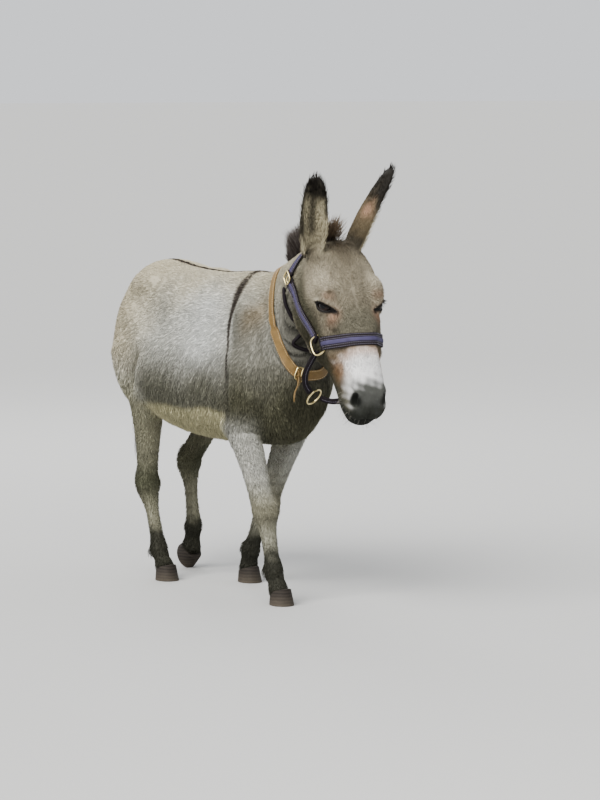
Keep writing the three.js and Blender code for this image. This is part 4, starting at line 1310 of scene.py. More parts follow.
def finish(name, colour=None):
    """The finish of a name, made once. Its colour is the name of the attribute that holds one for
    each point, or a single colour; without one it is horn. The grain breaks it up."""
    made = bpy.data.materials.get(f"{name}_finish")
    if made:
        return made
    roughness, specular, *rest = FINISHES[name]
    material = bpy.data.materials.new(f"{name}_finish")
    material.use_nodes = True
    tree = material.node_tree
    shader = tree.nodes["Principled BSDF"]
    shader.inputs["Roughness"].default_value = roughness
    shader.inputs["Metallic"].default_value = float(name == "brass")
    shader.inputs["Specular IOR Level"].default_value = specular
    if name == "floor":
        shader.inputs["Base Color"].default_value = (*colour, 1)
        return material
    if name == "eyeball":
        shader.inputs["Coat Weight"].default_value = 0.25
        shader.inputs["Coat Roughness"].default_value = 0.03
    if isinstance(colour, str):
        tint = add_node(tree, "Attribute", attribute_name=colour).outputs["Color"]
    else:
        node = horn_colour(tree) if colour is None else patchy_colour(tree, colour, rest[0][0])
        tint = node.outputs["Result"]
    value = add_grain(tree, shader, tint, *rest[0])
    for swing, smoother, rougher in rest[1:]:
        worn = add_node(tree, "MapRange", {
            "Value": value, "From Min": 1 - swing, "From Max": 1 + swing, "To Min": roughness - smoother,
            "To Max": roughness + rougher})
        tree.links.new(worn.outputs["Result"], shader.inputs["Roughness"])
    return material


# ---- tufts
Tufts = namedtuple("Tufts", "roots lie normals length width rise sink curl")


def tuft_mesh(tufts, rings):
    """Joined tufts. Each is a three-sided blade: its middle line starts sunk in the skin, runs
    along the lie, and climbs to its full rise as 1 - (1 - s)^2; its width falls as (1 - s^1.6).
    Curl pushes the tip sideways as s^2."""
    roots, lie, normals, length, width, rise, sink, curl = tufts
    count = len(roots)
    s = np.linspace(0, 1, rings + 1)[:-1]
    side = np.cross(normals, lie)
    forward = (length[:, None] * s)[..., None] * lie[:, None]
    climb = (-sink[:, None] + (rise + sink)[:, None] * (1 - (1 - s) ** 2))[..., None] * normals[:, None]
    sway = ((curl * length)[:, None] * s ** 2)[..., None] * side[:, None]
    line = roots[:, None] + forward + climb + sway
    half = (width[:, None] / 2 * (1 - s ** 1.6) * (0.55 + 0.45 * np.minimum(1, s * 4)))[..., None]
    left = line - side[:, None] * half
    right = line + side[:, None] * half
    ridge = line + normals[:, None] * half * 0.8
    sections = np.stack([left, ridge, right], axis=2)
    tip = roots + length[:, None] * lie + rise[:, None] * normals + (curl * length)[:, None] * side
    points = np.concatenate([sections.reshape(count, rings * 3, 3), tip[:, None]], axis=1)
    per = rings * 3 + 1
    faces = [(0, 1, 2)]
    for ring in range(rings - 1):
        for i in range(3):
            a = ring * 3 + i
            b = ring * 3 + (i + 1) % 3
            faces += [(a, a + 3, b + 3), (a, b + 3, b)]
    last = (rings - 1) * 3
    faces += [(last + i, rings * 3, last + (i + 1) % 3) for i in range(3)]
    faces = np.array(faces)
    triangles = (faces[None] + (np.arange(count) * per)[:, None, None]).reshape(-1, 3)
    along = np.concatenate([np.repeat(s, 3), [1.0]])
    aside = np.concatenate([np.tile([-1.0, 0.0, 1.0], rings), [0.0]])
    return points.reshape(-1, 3), triangles, along, aside


# side of a tuft's patch on the map, rings in a tuft, most triangles in a piece
PATCH = 0.003
COAT_RINGS = 2
PIECE_LIMIT = 190000


def coat_piece(name, tufts, uv, colours, material):
    """One piece of the coat: its tufts as a mesh, their colours at root, middle and tip, darkened towards the
    root with painted shade, and the map OFBake, in which each tuft is a small patch at its root's place on
    the unwrapped limb."""
    points, triangles, along, aside = tuft_mesh(tufts, COAT_RINGS)
    piece = new_object(name, points, triangles, material, (), "coat")
    at = np.minimum((along * 2).astype(int), 1)
    share = along * 2 - at
    # Roots darkened to 0.74 as painted shade, tips lighter.
    shade = mix(colours[:, at], colours[:, at + 1], share[None, :]) * mix(0.74, 1.1, along)[None, :, None]
    paint(piece, "coat", shade.reshape(-1, 3))
    patch = columns(aside * PATCH / 2, (along - 0.5) * PATCH)
    corners = (uv[:, None] + patch[None]).reshape(-1, 2)[triangles.ravel()]
    layer = piece.data.uv_layers.new(name="OFBake")
    layer.data.foreach_set("uv", corners.astype(np.float32).ravel())


def unwrap(points, limb):
    """Place of each point on its limb rolled out flat: the angle round the limb's line across,
    the length along it up, both between 0.01 and 0.99."""
    if limb == "head":
        along, out, across = in_head(points).T
        angle = np.arctan2(across, out + 0.09)
        length = along
    elif limb.startswith("ear"):
        root, axis, _, front, side = ear_frame(limb.split("_")[1])
        local = points - root
        angle = np.arctan2(local @ side, -(local @ front))
        length = local @ axis
    elif limb.startswith("leg"):
        centre, _, _ = leg_share(points, limb[4:])
        angle = np.arctan2(points[:, 0] - centre[:, 0], points[:, 1] - centre[:, 1])
        length = points[:, 2]
    elif limb == "tail":
        angle = np.arctan2(points[:, 0], points[:, 1] - place((0, 584, 0))[1])
        length = points[:, 2]
    else:
        angle = np.arctan2(points[:, 0], points[:, 2] - 0.6)
        length = points[:, 1]
    spread = max(np.ptp(length), 1e-6)
    uv = columns(angle / (2 * pi) + 0.5, (length - length.min()) / spread)
    return 0.01 + 0.98 * uv


def scatter(points, normals, triangles, spacing, random):
    """Roots spread evenly over a surface: one to each spacing squared of area, drawn in order
    along the triangles sorted by place. Returns roots and normals."""
    corners = points[triangles]
    area = norm(np.cross(corners[:, 1] - corners[:, 0], corners[:, 2] - corners[:, 0]), axis=1) / 2
    centre = corners.mean(1)
    cell = ((centre - centre.min(0)) / 0.012).astype(np.int64)
    order = np.lexsort((cell[:, 0], cell[:, 1], cell[:, 2]))
    load = np.cumsum((area / spacing ** 2)[order])
    count = int(load[-1])
    pick = order[np.searchsorted(load, (np.arange(count) + random.uniform(size=count)) * load[-1] / count)
                 .clip(0, len(order) - 1)]
    first = np.sqrt(random.uniform(size=count))
    second = random.uniform(size=count)
    share = columns(1 - first, first * (1 - second), first * second)[..., None]
    roots = (corners[pick] * share).sum(1)
    return roots, unit((normals[triangles[pick]] * share).sum(1))


def coat_sizes(points, normals, weights):
    """Spacing, length, width and rise of the tufts at each point, in millimetres. The coat is
    shortest on the face and the feet, longest under the belly, on the lower flank and the chest."""
    x, y, z = points.T
    along, out, across = in_head(points).T
    legs = sum(weights[f"leg_{name}"] for name in LEGS)
    belly = step(0.54, 0.44, z)
    shaggy = step(0.68, 0.56, z)
    jaw = step(-0.15, -0.21, out)
    muzzle = step(0.3, 0.4, along)
    _, folds = neck_folds(along, out, across, z)
    heel = step(0.115, 0.095, z) * step(0.055, 0.075, z) * step(0.2, 0.8, normals[:, 1])
    sizes = {
        "trunk": columns(4.0 - 0.1 * belly, 15 + 4 * shaggy + 8 * belly, 2.6 + 0.6 * belly,
                         2.0 + 1.8 * shaggy + 2.4 * belly),
        "neck": columns(4.0 - 0.9 * folds, 16 - 8 * folds, 2.5 - 0.8 * folds, 2.6 - 1.5 * folds),
        "tail": np.tile([3.4, 22, 2.4, 4.0], (len(points), 1)),
        "head": columns(3.2 - 0.4 * muzzle, 10 - 6.5 * muzzle + 7 * jaw, 1.7 - 0.8 * muzzle + 0.5 * jaw,
                        2.2 - 1.6 * muzzle + 1.8 * jaw),
        "legs": columns(4.0 - 0.6 * step(0.2, 0.1, z), 12 + 5 * step(0.3, 0.42, z) + 10 * heel,
                        2.2 + 0.5 * step(0.3, 0.42, z), 2.6 + 1.2 * step(0.32, 0.42, z) + 3 * heel),
    }
    for side in EARS:
        front = ear_frame(side)[3]
        inside = step(0.05, 0.5, normals @ front)
        sizes[f"ear_{side}"] = columns(2.9 + 0.2 * inside, 8 + 10 * inside, 1.4 + 0.4 * inside,
                                       1.2 + 5.5 * inside)
    weight = {"trunk": weights["trunk"], "neck": weights["neck"], "tail": weights["tail"],
              "head": weights["head"], "legs": legs, "ear_left": weights["ear_left"],
              "ear_right": weights["ear_right"]}
    total = sum(weight.values())
    return sum(sizes[name] * (weight[name] / total)[:, None] for name in sizes)


def clear_of_gear(points, paths):
    """True for the roots that no strap covers. A strap is a line of points with a half width."""
    free = np.ones(len(points), bool)
    for line, half in paths:
        low = line.min(0) - half
        high = line.max(0) + half
        near = np.flatnonzero(((points > low) & (points < high)).all(1) & free)
        for part in np.array_split(near, max(1, len(near) // 4000)):
            gap = norm(points[part, None] - line[None], axis=2).min(1)
            free[part[gap < half]] = False
    return free


# middle line and half width of each strap that the coat leaves free
GEAR_PATHS = []


def build_coat(settings):
    """Short tufts over the whole skin, one piece for each limb and more for the trunk."""
    random = np.random.default_rng(SEED)
    skin = bpy.data.objects["skin"]
    points, normals, triangles = mesh_arrays(skin)
    centre = points[triangles].mean(1)
    facing = unit(normals[triangles].sum(1))
    spacing = coat_sizes(centre, facing, limb_weights(centre))[:, 0] * MM / sqrt(settings.density)
    roots, ups = scatter(points, normals, triangles, spacing, random)
    keep = clear_of_gear(roots, GEAR_PATHS) & clear_of_openings(roots)
    keep &= roots[:, 2] > 0.026
    roots, ups = roots[keep], ups[keep]
    weights = limb_weights(roots)
    lie = coat_lie(roots, ups, weights)
    swirl = 0.16 * waves(roots, 0.035, 31) + random.normal(0, 0.13, len(roots))
    side = np.cross(ups, lie)
    lie = lie * np.cos(swirl)[:, None] + side * np.sin(swirl)[:, None]
    _, length, width, rise = coat_sizes(roots, ups, weights).T * MM
    vary = random.uniform(0.75, 1.25, len(roots))
    length = length * vary * settings.length
    colours = np.stack([coat_colour(roots + lie * (length * part)[:, None], ups, weights, settings)
                        for part in (0.0, 0.5, 1.0)], axis=1)
    rough = step(0.66, 0.54, roots[:, 2]) * (1 - weights["head"])
    flecked = bell(roots[:, 1] - 0.4, 0.07) * bell(roots[:, 2] - 0.55, 0.055) * (weights["trunk"] > 0.3)
    uneven = 0.05 + 0.05 * rough + 0.07 * weights["head"] + 0.3 * flecked
    colours = colours * np.exp(random.normal(0, 1, len(roots)) * uneven)[:, None, None]
    colours = np.clip(colours, 0.004, 0.95)
    tufts = Tufts(roots, lie, ups, length, width * (1),
                  rise * vary * random.uniform(0.6, 1.2, len(roots)), np.full(len(roots), 0.0012),
                  random.normal(0, 0.1, len(roots)))
    names = list(weights)
    owner = np.stack([weights[name] for name in names]).argmax(0)
    material = finish("coat_hair", "coat")
    for number, limb in enumerate(names):
        mine = np.flatnonzero(owner == number)
        parts = ceil(len(mine) * (6 * COAT_RINGS - 2) / PIECE_LIMIT)
        if not parts:
            continue
        axis = 1 if limb in ("trunk", "neck") else 2
        for part, chosen in enumerate(np.array_split(mine[np.argsort(roots[mine, axis])], parts)):
            label = f"coat_{limb}" if parts == 1 else f"coat_{limb}_{part + 1}"
            piece = Tufts(*(value[chosen] for value in tufts))
            coat_piece(label, piece, unwrap(roots[chosen], limb), colours[chosen], material)


def clear_of_openings(points):
    """True for the roots outside the eyes' slits, the nostrils and the line of the mouth."""
    free = np.ones(len(points), bool)
    for side in (-1, 1):
        centre, slit, over, gaze = eye_frame(side)
        local = points - centre
        u, v, w = (local @ axis for axis in (slit, over, gaze))
        free &= ~((almond(u, v, 0.036, 0.0135) < 1.0) & (w > 0))
        for along, out in ((412, -54), (421, -62), (430, -70)):
            free &= norm(points - on_head(along, out, side * 40), axis=1) > 0.0095
    along, out, _ = in_head(points).T
    mouth = -0.112 - 0.16 * (0.452 - along)
    free &= ~((np.abs(out - mouth) < 0.004) & (along > 0.375))
    return free


# ---- profiles carried along paths
def carried(line, across, up, profile):
    """Grid of points: at every point of a line, the profile's first number is laid off across
    and its second one up."""
    profile = np.asarray(profile, float)
    return line[:, None] + across[:, None] * profile[..., 0:1] + up[:, None] * profile[..., 1:2]


def closed_loop(grid):
    """Points and triangles of a tube whose last ring joins its first."""
    rows, sides = grid.shape[:2]
    index = np.arange(rows * sides).reshape(rows, sides)
    b = np.roll(index, -1, axis=1)
    d = np.roll(index, -1, axis=0)
    c = np.roll(b, -1, axis=0)
    triangles = np.vstack([columns(index, b, c).reshape(-1, 3), columns(index, c, d).reshape(-1, 3)])
    points = grid.reshape(-1, 3)
    return points, outward(points, triangles)


def merged(parts):
    """Several (points, triangles) pairs as one."""
    points = np.vstack([part[0] for part in parts])
    starts = np.cumsum([0] + [len(part[0]) for part in parts[:-1]])
    return points, np.vstack([part[1] + start for part, start in zip(parts, starts)])


def rounded(width, height, square=5.0, sides=24):
    """A rounded rectangle |x|^n + |y|^n = 1 stretched to a width and a height."""
    angle = all_round(sides)
    c, s = np.cos(angle), np.sin(angle)
    power = 2 / square
    return columns(np.sign(c) * np.abs(c) ** power * width / 2,
                   np.sign(s) * np.abs(s) ** power * height / 2)


def along_path(line, facing, closed=False):
    """Directions across and up along a line: up is the facing made square to the line."""
    if closed:
        ahead = np.roll(line, -1, axis=0) - np.roll(line, 1, axis=0)
    else:
        ahead = np.gradient(line, axis=0)
    ahead = unit(ahead)
    facing = np.broadcast_to(facing, line.shape)
    up = square_to(facing, ahead)
    return np.cross(ahead, up), up


def even(line, count, closed=False):
    """A line resampled to points that lie evenly along its length."""
    full = np.vstack([line, line[:1]]) if closed else line
    length = np.concatenate([[0], np.cumsum(norm(np.diff(full, axis=0), axis=1))])
    want = np.linspace(0, length[-1], count, endpoint=not closed)
    return columns_at(want, length, full)


def tube(points, radius, count=60, sides=16, flat=1.0):
    """A round cord through points, with domed ends."""
    line = even(smooth_rows(points, count * 2), count)
    across, up = along_path(line, (0.3, 0.9, 0.25))
    ends = np.minimum(np.arange(count), np.arange(count)[::-1])
    size = np.sqrt(np.clip(1 - (1 - np.minimum(ends / 2.0, 1)) ** 2, 0.08, 1))
    profile = rounded(radius * 2, radius * 2 * flat, 2.0, sides)[None] * size[:, None, None]
    return closed_tube(carried(line, across, up, profile)), line, up


def hoop(centre, right, up, half_width, half_height, wire, square=2.0, count=72, sides=14):
    """A bent wire: its line is a rounded rectangle in the plane of right and up."""
    profile = rounded(half_width * 2, half_height * 2, square, count)
    line = even(centre + profile[:, :1] * right + profile[:, 1:] * up, count, True)
    across, out = along_path(line, line - centre, True)
    return closed_loop(carried(line, across, out, rounded(wire, wire, 2.0, sides)))


def spindles(centres, ahead, up, length, width, height):
    """Small stitches: each a spindle of five rings of six points between two poles."""
    count = len(centres)
    side = np.cross(ahead, up)
    t = np.linspace(-1, 1, 7)[1:-1]
    swell = np.sqrt(1 - t ** 2)
    angle = all_round(6)
    rings = (ahead[:, None, None] * (t * length / 2)[None, :, None, None]
             + side[:, None, None] * (swell[:, None] * np.cos(angle) * width / 2)[None, ..., None]
             + up[:, None, None] * (swell[:, None] * np.sin(angle) * height / 2)[None, ..., None])
    points = np.concatenate([
        (centres[:, None, None] + rings).reshape(count, 30, 3),
        (centres - ahead * length / 2)[:, None], (centres + ahead * length / 2)[:, None]], axis=1)
    index = np.arange(30).reshape(5, 6)
    after = np.roll(index, -1, axis=1)
    faces = [columns(index[:-1], after[:-1], after[1:]).reshape(-1, 3),
             columns(index[:-1], after[1:], index[1:]).reshape(-1, 3),
             columns(np.full(6, 30), after[0], index[0]),
             columns(np.full(6, 31), index[-1], after[-1])]
    faces = outward(points[0], np.vstack(faces))
    triangles = (faces[None] + (np.arange(count) * 32)[:, None, None]).reshape(-1, 3)
    return points.reshape(-1, 3), triangles


def stitches(line, across, up, offset, spacing=0.0052, length=0.0034, width=0.0011, closed=False):
    """A row of stitches at a distance across a line, given as (points, triangles)."""
    whole = np.vstack([line, line[:1]]) if closed else line
    total = norm(np.diff(whole, axis=0), axis=1).sum()
    count = max(int(total / spacing), 2)
    place_on = np.linspace(0, len(line) - 1, count + 2)[1:-1]
    rows = np.hstack([line + across * offset[0] + up * offset[1], up])
    at = columns_at(place_on, np.arange(len(line)), rows)
    centres, ups = at[:, :3], unit(at[:, 3:])
    ahead = unit(np.gradient(centres, axis=0))
    ups = square_to(ups, ahead)
    return spindles(centres, ahead, ups, length, width, width * 0.8)


# ---- straps on the skin
class Ground:
    """The skin of some limbs, for straps to lie on."""

    def __init__(self, limbs):
        points, _, triangles = mesh_arrays(bpy.data.objects["skin"])
        weights = limb_weights(points[triangles].mean(1))
        keep = sum(weights[name] for name in limbs) > 0.5
        self.tree = BVHTree.FromPolygons(points.tolist(), triangles[keep].tolist(), all_triangles=True)

    def depth(self, starts, directions, reach):
        """Distance from each start to the skin along its direction; a miss takes its neighbours'."""
        found = np.full(len(starts), np.nan)
        for i, (start, direction) in enumerate(zip(starts, directions)):
            hit = self.tree.ray_cast(Vector(start), Vector(direction), reach)
            if hit[0] is not None:
                found[i] = hit[3]
        met = np.flatnonzero(~np.isnan(found))
        if len(met) == 0:
            raise RuntimeError("a strap found no skin to lie on")
        return np.interp(np.arange(len(found)), met, found[met])


def taut(radius, turn, closed):
    """Distances from a middle pulled tight: hollows are bridged by straight runs, because a
    point may not lie inside the chord of its two neighbours."""
    near = 1 / radius
    for _ in range(900):
        before = np.roll(near, 1)
        after = np.roll(near, -1)
        chord = (before + after) / (2 * cos(turn))
        if not closed:
            chord[[0, -1]] = near[[0, -1]]
        near = np.minimum(near, chord)
    radius = 1 / near
    for _ in range(3):
        soft = (np.roll(radius, 1) + 2 * radius + np.roll(radius, -1)) / 4
        if not closed:
            soft[[0, -1]] = radius[[0, -1]]
        radius = soft
    return radius


def strap_round(ground, centre, right, up, first, last, width, clear, count=120, closed=False, slack=0.0):
    """Middle line of a strap round a middle point, with its directions across and up. Three
    lines are found side by side in parallel planes, so the strap tilts with the skin. A loose
    strap hangs below the skin by the slack."""
    angle = np.radians(np.linspace(first, last, count, endpoint=not closed))
    turn = abs(angle[1] - angle[0])
    directions = np.cos(angle)[:, None] * right + np.sin(angle)[:, None] * up
    side = np.cross(right, up)
    lines = []
    for offset in (-0.45, 0.0, 0.45):
        middle_at = centre + side * (offset * width)
        far = 0.4
        depth = ground.depth(middle_at + directions * far, -directions, far)
        radius = taut(far - depth + clear, turn, closed) + slack * np.clip(-np.sin(angle), 0, 1) ** 3
        lines.append(even(middle_at + directions * radius[:, None], count, closed))
    low, line, high = lines
    across = unit(high - low)
    ahead = np.roll(line, -1, axis=0) - np.roll(line, 1, axis=0) if closed else np.gradient(line, axis=0)
    ahead = unit(ahead)
    across = square_to(across, ahead)
    raised = np.cross(ahead, across)
    raised *= np.sign(dots(raised, line - centre))
    return (low + 2 * line + high) / 4, across, raised


def strap_beside(ground, starts, inward, width, clear, count=60):
    """Middle line of a strap along the side of the head, with its directions across and up."""
    line = even(np.asarray(starts, float), count)
    ahead = unit(line[-1] - line[0])
    side = unit(np.cross(ahead, inward))
    lines = []
    for offset in (-0.4, 0.0, 0.4):
        origin = line + side * (offset * width) - inward * 0.2
        depth = ground.depth(origin, np.broadcast_to(inward, line.shape), 0.4)
        for _ in range(60):
            soft = (np.roll(depth, 1) + np.roll(depth, -1)) / 2
            soft[[0, -1]] = depth[[0, -1]]
            depth = np.minimum(depth, soft)
        lines.append(origin + inward * (depth - clear)[:, None])
    low, middle_line, high = lines
    across = unit(high - low)
    ahead = unit(np.gradient(middle_line, axis=0))
    raised = np.cross(ahead, across)
    raised *= -np.sign(raised @ inward)[:, None]
    return (low + 2 * middle_line + high) / 4, across, raised


def fold_over(line, across, up, width, thickness):
    """The end of a strap folded round a wire: a short roll across the strap."""
    rolls = []
    for end in (0, -1):
        span = np.linspace(-0.46, 0.46, 9)[:, None] * width
        axis_line = line[end] + across[end] * span
        ahead, raised = along_path(axis_line, up[end])
        roll = rounded(thickness * 2.7, thickness * 2.4, 2.2, 16)
        rolls.append(closed_tube(carried(axis_line, ahead, raised, roll)))
    return merged(rolls)


def padded_strap(name, path, width, settings, node):
    """A leather strap with a raised, padded stripe along its middle and a stitch row each side."""
    line, across, up = path
    thick = settings.halter_thickness
    base = closed_tube(carried(line, across, up, rounded(width, thick, 4.0, 28)))
    base = merged([base, fold_over(line, across, up, width, thick)])
    GEAR_PATHS.append((line, width * 0.48))
    new_object(name, *base, finish("halter_leather", settings.halter), (node,), "halter_leather")
    top = line + up * thick * 0.38
    inner = slice(2, -2)
    stripe = rounded(width * 0.32, thick * 0.95, 2.6, 20)
    pad = closed_tube(carried(top[inner], across[inner], up[inner], stripe))
    new_object(f"{name}_padding", *pad, finish("halter_padding", settings.padding), (), "halter_leather")
    return merged([stitches(line[inner], across[inner], up[inner], (sign * width * aside, thick * over))
                   for aside, over in ((0.235, 0.52), (0.41, 0.5)) for sign in (-1, 1)])


SIDE_RING = (238, -107)
BUCKLE_AT = (26, -136)
CROWN_TOP = (-92, 12)
NOSE_TOP = (292, 30)
THROAT = ((38, -160), (74, -178), (108, -198), (138, -219), (162, -236))
THROAT_LOW = (184, -246)
CHIN_RING = {
    "centre": (-28, -252, 542), "radius": 23, "across": (0.63, -0.35, 0.7), "facing": (0.24, -0.77, -0.59),
}
CHIN_SAG = {
    "right": (((-86, -298, 614), (-71, -274, 581)), (-22, -14, 13)),
    "left": (((84, -352, 600), (34, -326, 546), (-2, -303, 533)), (16, -4, -4)),
}


def side_point(ground, along, out, side, proud):
    """A point over the side of the head, standing proud of the skin: where a line from the side
    meets the skin or, past the jaw's edge, over the nearest skin."""
    inward = -HEAD_AXES[2] * side
    start = on_head(along, out, 0) - inward * 0.2
    hit = ground.tree.ray_cast(Vector(start), Vector(inward), 0.2)
    if hit[0] is None:
        near, normal, _, _ = ground.tree.find_nearest(Vector(on_head(along, out, side * 72)))
        return np.array(near) + np.array(normal) * proud * MM
    return start + inward * (hit[3] - proud * MM)


def metal_buckle(centre, along, facing, size, wire):
    """A buckle: a rounded square of bent wire, a bar across its middle and a tongue."""
    facing = unit(facing)
    along = square_to(along, facing)
    right = np.cross(along, facing)
    half = size / 2 - wire / 2
    frame_part = hoop(centre, right, along, half, half, wire, 4.5, 64, 12)
    bar, _, _ = tube([centre - right * half, centre, centre + right * half], wire * 0.36, 12, 10)
    tongue, _, _ = tube([centre - facing * 0.0005, centre + along * half * 0.5 + facing * 0.0022,
                         centre + along * (half + wire * 0.3) + facing * 0.0016], wire * 0.3, 16, 10)
    return merged([frame_part, bar, tongue])


def build_halter(settings):
    """Crown, cheek straps, noseband, throat strap, chin straps, rings and buckles."""
    ground = Ground(("head", "neck"))
    clear = COAT_DEPTH["head"] * MM * 0.55 + settings.halter_thickness / 2
    along, out, across = HEAD_AXES
    sewing, metal = [], []

    def straight(start, end):
        """Unit direction from one place on the head's side to another."""
        return unit(on_head(*end, 0) - on_head(*start, 0))

    def cord_piece(name, part, node):
        """A round or flat leather cord of the halter."""
        new_object(name, *part, finish("halter_leather", settings.halter), (node,), "halter_leather")

    for name, node, low, top, ends, width, lift in (
            ("crown", "halter_crown", BUCKLE_AT, CROWN_TOP, (7, 173), 0.025, 0.002),
            ("nose", "halter_noseband", SIDE_RING, NOSE_TOP, (13, 167), 0.034, 0.0)):
        path = strap_round(ground, on_head(*low, 0), across, straight(low, top), *ends, width, clear + lift)
        sewing.append(padded_strap(f"halter_{name}_strap", path, width, settings, node))

    for side_name, side in (("right", -1), ("left", 1)):
        inward = -across * side
        step_on = straight(BUCKLE_AT, SIDE_RING)
        start = on_head(*BUCKLE_AT, 0) + step_on * 0.014
        end = on_head(*SIDE_RING, 0) - step_on * 0.019
        path = strap_beside(ground, [start, end], inward, 0.027, clear)
        sewing.append(padded_strap(f"halter_cheek_strap_{side_name}", path, 0.027, settings,
                                   f"halter_cheek_{side_name}"))
        ring_at = side_point(ground, *SIDE_RING, side, 6.0)
        turned = radians(12)
        ring_up = along * cos(turned) - out * sin(turned)
        ring_right = unit(out * 0.82 + inward * 0.45)
        ring_up = square_to(ring_up, ring_right)
        ring = hoop(ring_at, ring_right, ring_up, 0.0195, 0.024, 0.005, 3.0)
        metal.append((f"ring_{side_name}", ring, f"halter_ring_{side_name}"))
        buckle_at = side_point(ground, *BUCKLE_AT, side, 8.0)
        buckle = metal_buckle(buckle_at, step_on, -inward, 0.034, 0.0042)
        metal.append((f"buckle_{side_name}", buckle, f"halter_buckle_{side_name}"))

        sag, last = CHIN_SAG[side_name]
        first = ring_at + (along * 10.5 - out * 22) * MM
        cord, line, up = tube([first, *place(sag), place(CHIN_RING["centre"]) + np.array(last) * MM],
                              0.0082, 90, flat=0.42)
        loop = hoop(first + (out * 3 - along * 2) * MM, unit(along + out), across, 0.0062, 0.0058, 0.0042,
                    2.0, 32, 10)
        cord_piece(f"halter_chin_cord_{side_name}", merged([cord, loop]), f"halter_chin_strap_{side_name}")
        aside, raised = along_path(line, (0.3, 0.9, 0.25))
        sewing.append(stitches(line[3:-3], aside[3:-3], raised[3:-3], (0.0, -0.0036)))

    throat = [side_point(ground, a, o, -1, 4.5) for a, o in THROAT]
    throat.append(on_head(*THROAT_LOW, 0))
    throat += [side_point(ground, a, o, 1, 4.5) for a, o in reversed(THROAT)]
    cord, line, up = tube(throat, 0.0046, 110)
    GEAR_PATHS.append((line, 0.0052))
    cord_piece("halter_throat_cord", cord, "halter_throat")

    facing = unit(np.array(CHIN_RING["facing"]))
    above = unit(np.cross(facing, CHIN_RING["across"]))
    chin = hoop(place(CHIN_RING["centre"]), np.cross(above, facing), above, CHIN_RING["radius"] * MM,
                CHIN_RING["radius"] * MM, 0.0046)
    metal.append(("chin_hoop", chin, "halter_chin_ring"))
    for name, part, node in metal:
        new_object(f"brass_{name}", *part, finish("brass", settings.brass), (node,), "brass")
    new_object("halter_stitches", *merged(sewing), finish("halter_thread", (0.3, 0.28, 0.36)), (),
               "halter_leather")


COLLAR_CREST = (-86, 868)
COLLAR_BREAST = (-228, 546)
COLLAR_BUCKLE = (-48, -217, 569)
COLLAR_END = ((-62, -232, 578), (-76, -232, 530), (0.8, -0.6, 0.1))


def build_collar(settings):
    """The collar: a flat leather strap round the neck, stitched along both edges, with its
    buckle, keeper and loose end."""
    ground = Ground(("neck", "trunk", *(f"leg_{name}" for name in LEGS)))
    crest = place((-4, *COLLAR_CREST))
    breast = place((-4, *COLLAR_BREAST))
    thick = settings.collar_thickness
    width = 0.026
    clear = COAT_DEPTH["neck"] * MM * 0.6 + thick / 2
    path = strap_round(ground, (crest + breast) / 2, np.array([1.0, 0, 0]), unit(crest - breast),
                       0, 360, width, clear, 220, True, 0.006)
    line, across, up = path
    GEAR_PATHS.append((line, width * 0.47))
    material = finish("collar_leather", settings.collar)
    band = closed_loop(carried(line, across, up, rounded(width, thick, 5.0, 26)))
    new_object("collar_band", *band, material, ("collar_strap",), "collar_leather")
    rows = [stitches(line, across, up, (sign * width * 0.4, thick * 0.52), closed=True) for sign in (-1, 1)]

    near = norm(line - place(COLLAR_BUCKLE), axis=1).argmin()
    seat = line[near] + up[near] * (thick * 0.5 + 0.0015)
    run = unit(np.roll(line, -1, axis=0)[near] - np.roll(line, 1, axis=0)[near])
    run = run if run[2] < 0 else -run
    buckle = metal_buckle(seat, run, up[near], 0.037, 0.0042)
    new_object("brass_collar_buckle", *buckle, finish("brass", settings.brass), ("collar_buckle",), "brass")

    top, bottom = place(COLLAR_END[:2])
    outwards = unit(np.array(COLLAR_END[2]))
    bulge = (top + bottom) / 2 - outwards * 0.004
    hang = even(smooth_rows([seat - run * 0.01 + up[near] * 0.003, top, bulge, bottom], 40), 40)
    side, raised = along_path(hang, outwards)
    end = np.clip((np.arange(40)[::-1]) / 5.0, 0.0, 1.0)
    taper = 0.45 + 0.55 * np.sqrt(1 - (1 - end) ** 2)
    profile = rounded(0.022, thick * 0.9, 5.0, 24)[None] * columns(taper, np.ones(40))[:, None]
    tip = closed_tube(carried(hang, side, raised, profile))
    keeper_at = len(hang) // 4
    keeper = hoop(hang[keeper_at], side[keeper_at], raised[keeper_at], 0.013, 0.0042, 0.0034, 5.0, 48, 10)
    new_object("collar_tip", *merged([tip, keeper]), material, ("collar_end",), "collar_leather")
    sewn = slice(3, -4)
    for sign in (-1, 1):
        rows.append(stitches(hang[sewn], side[sewn], raised[sewn], (sign * 0.0088, thick * 0.47)))
    new_object("collar_stitches", *merged(rows), finish("collar_thread", (0.62, 0.5, 0.33)), (),
               "collar_leather")


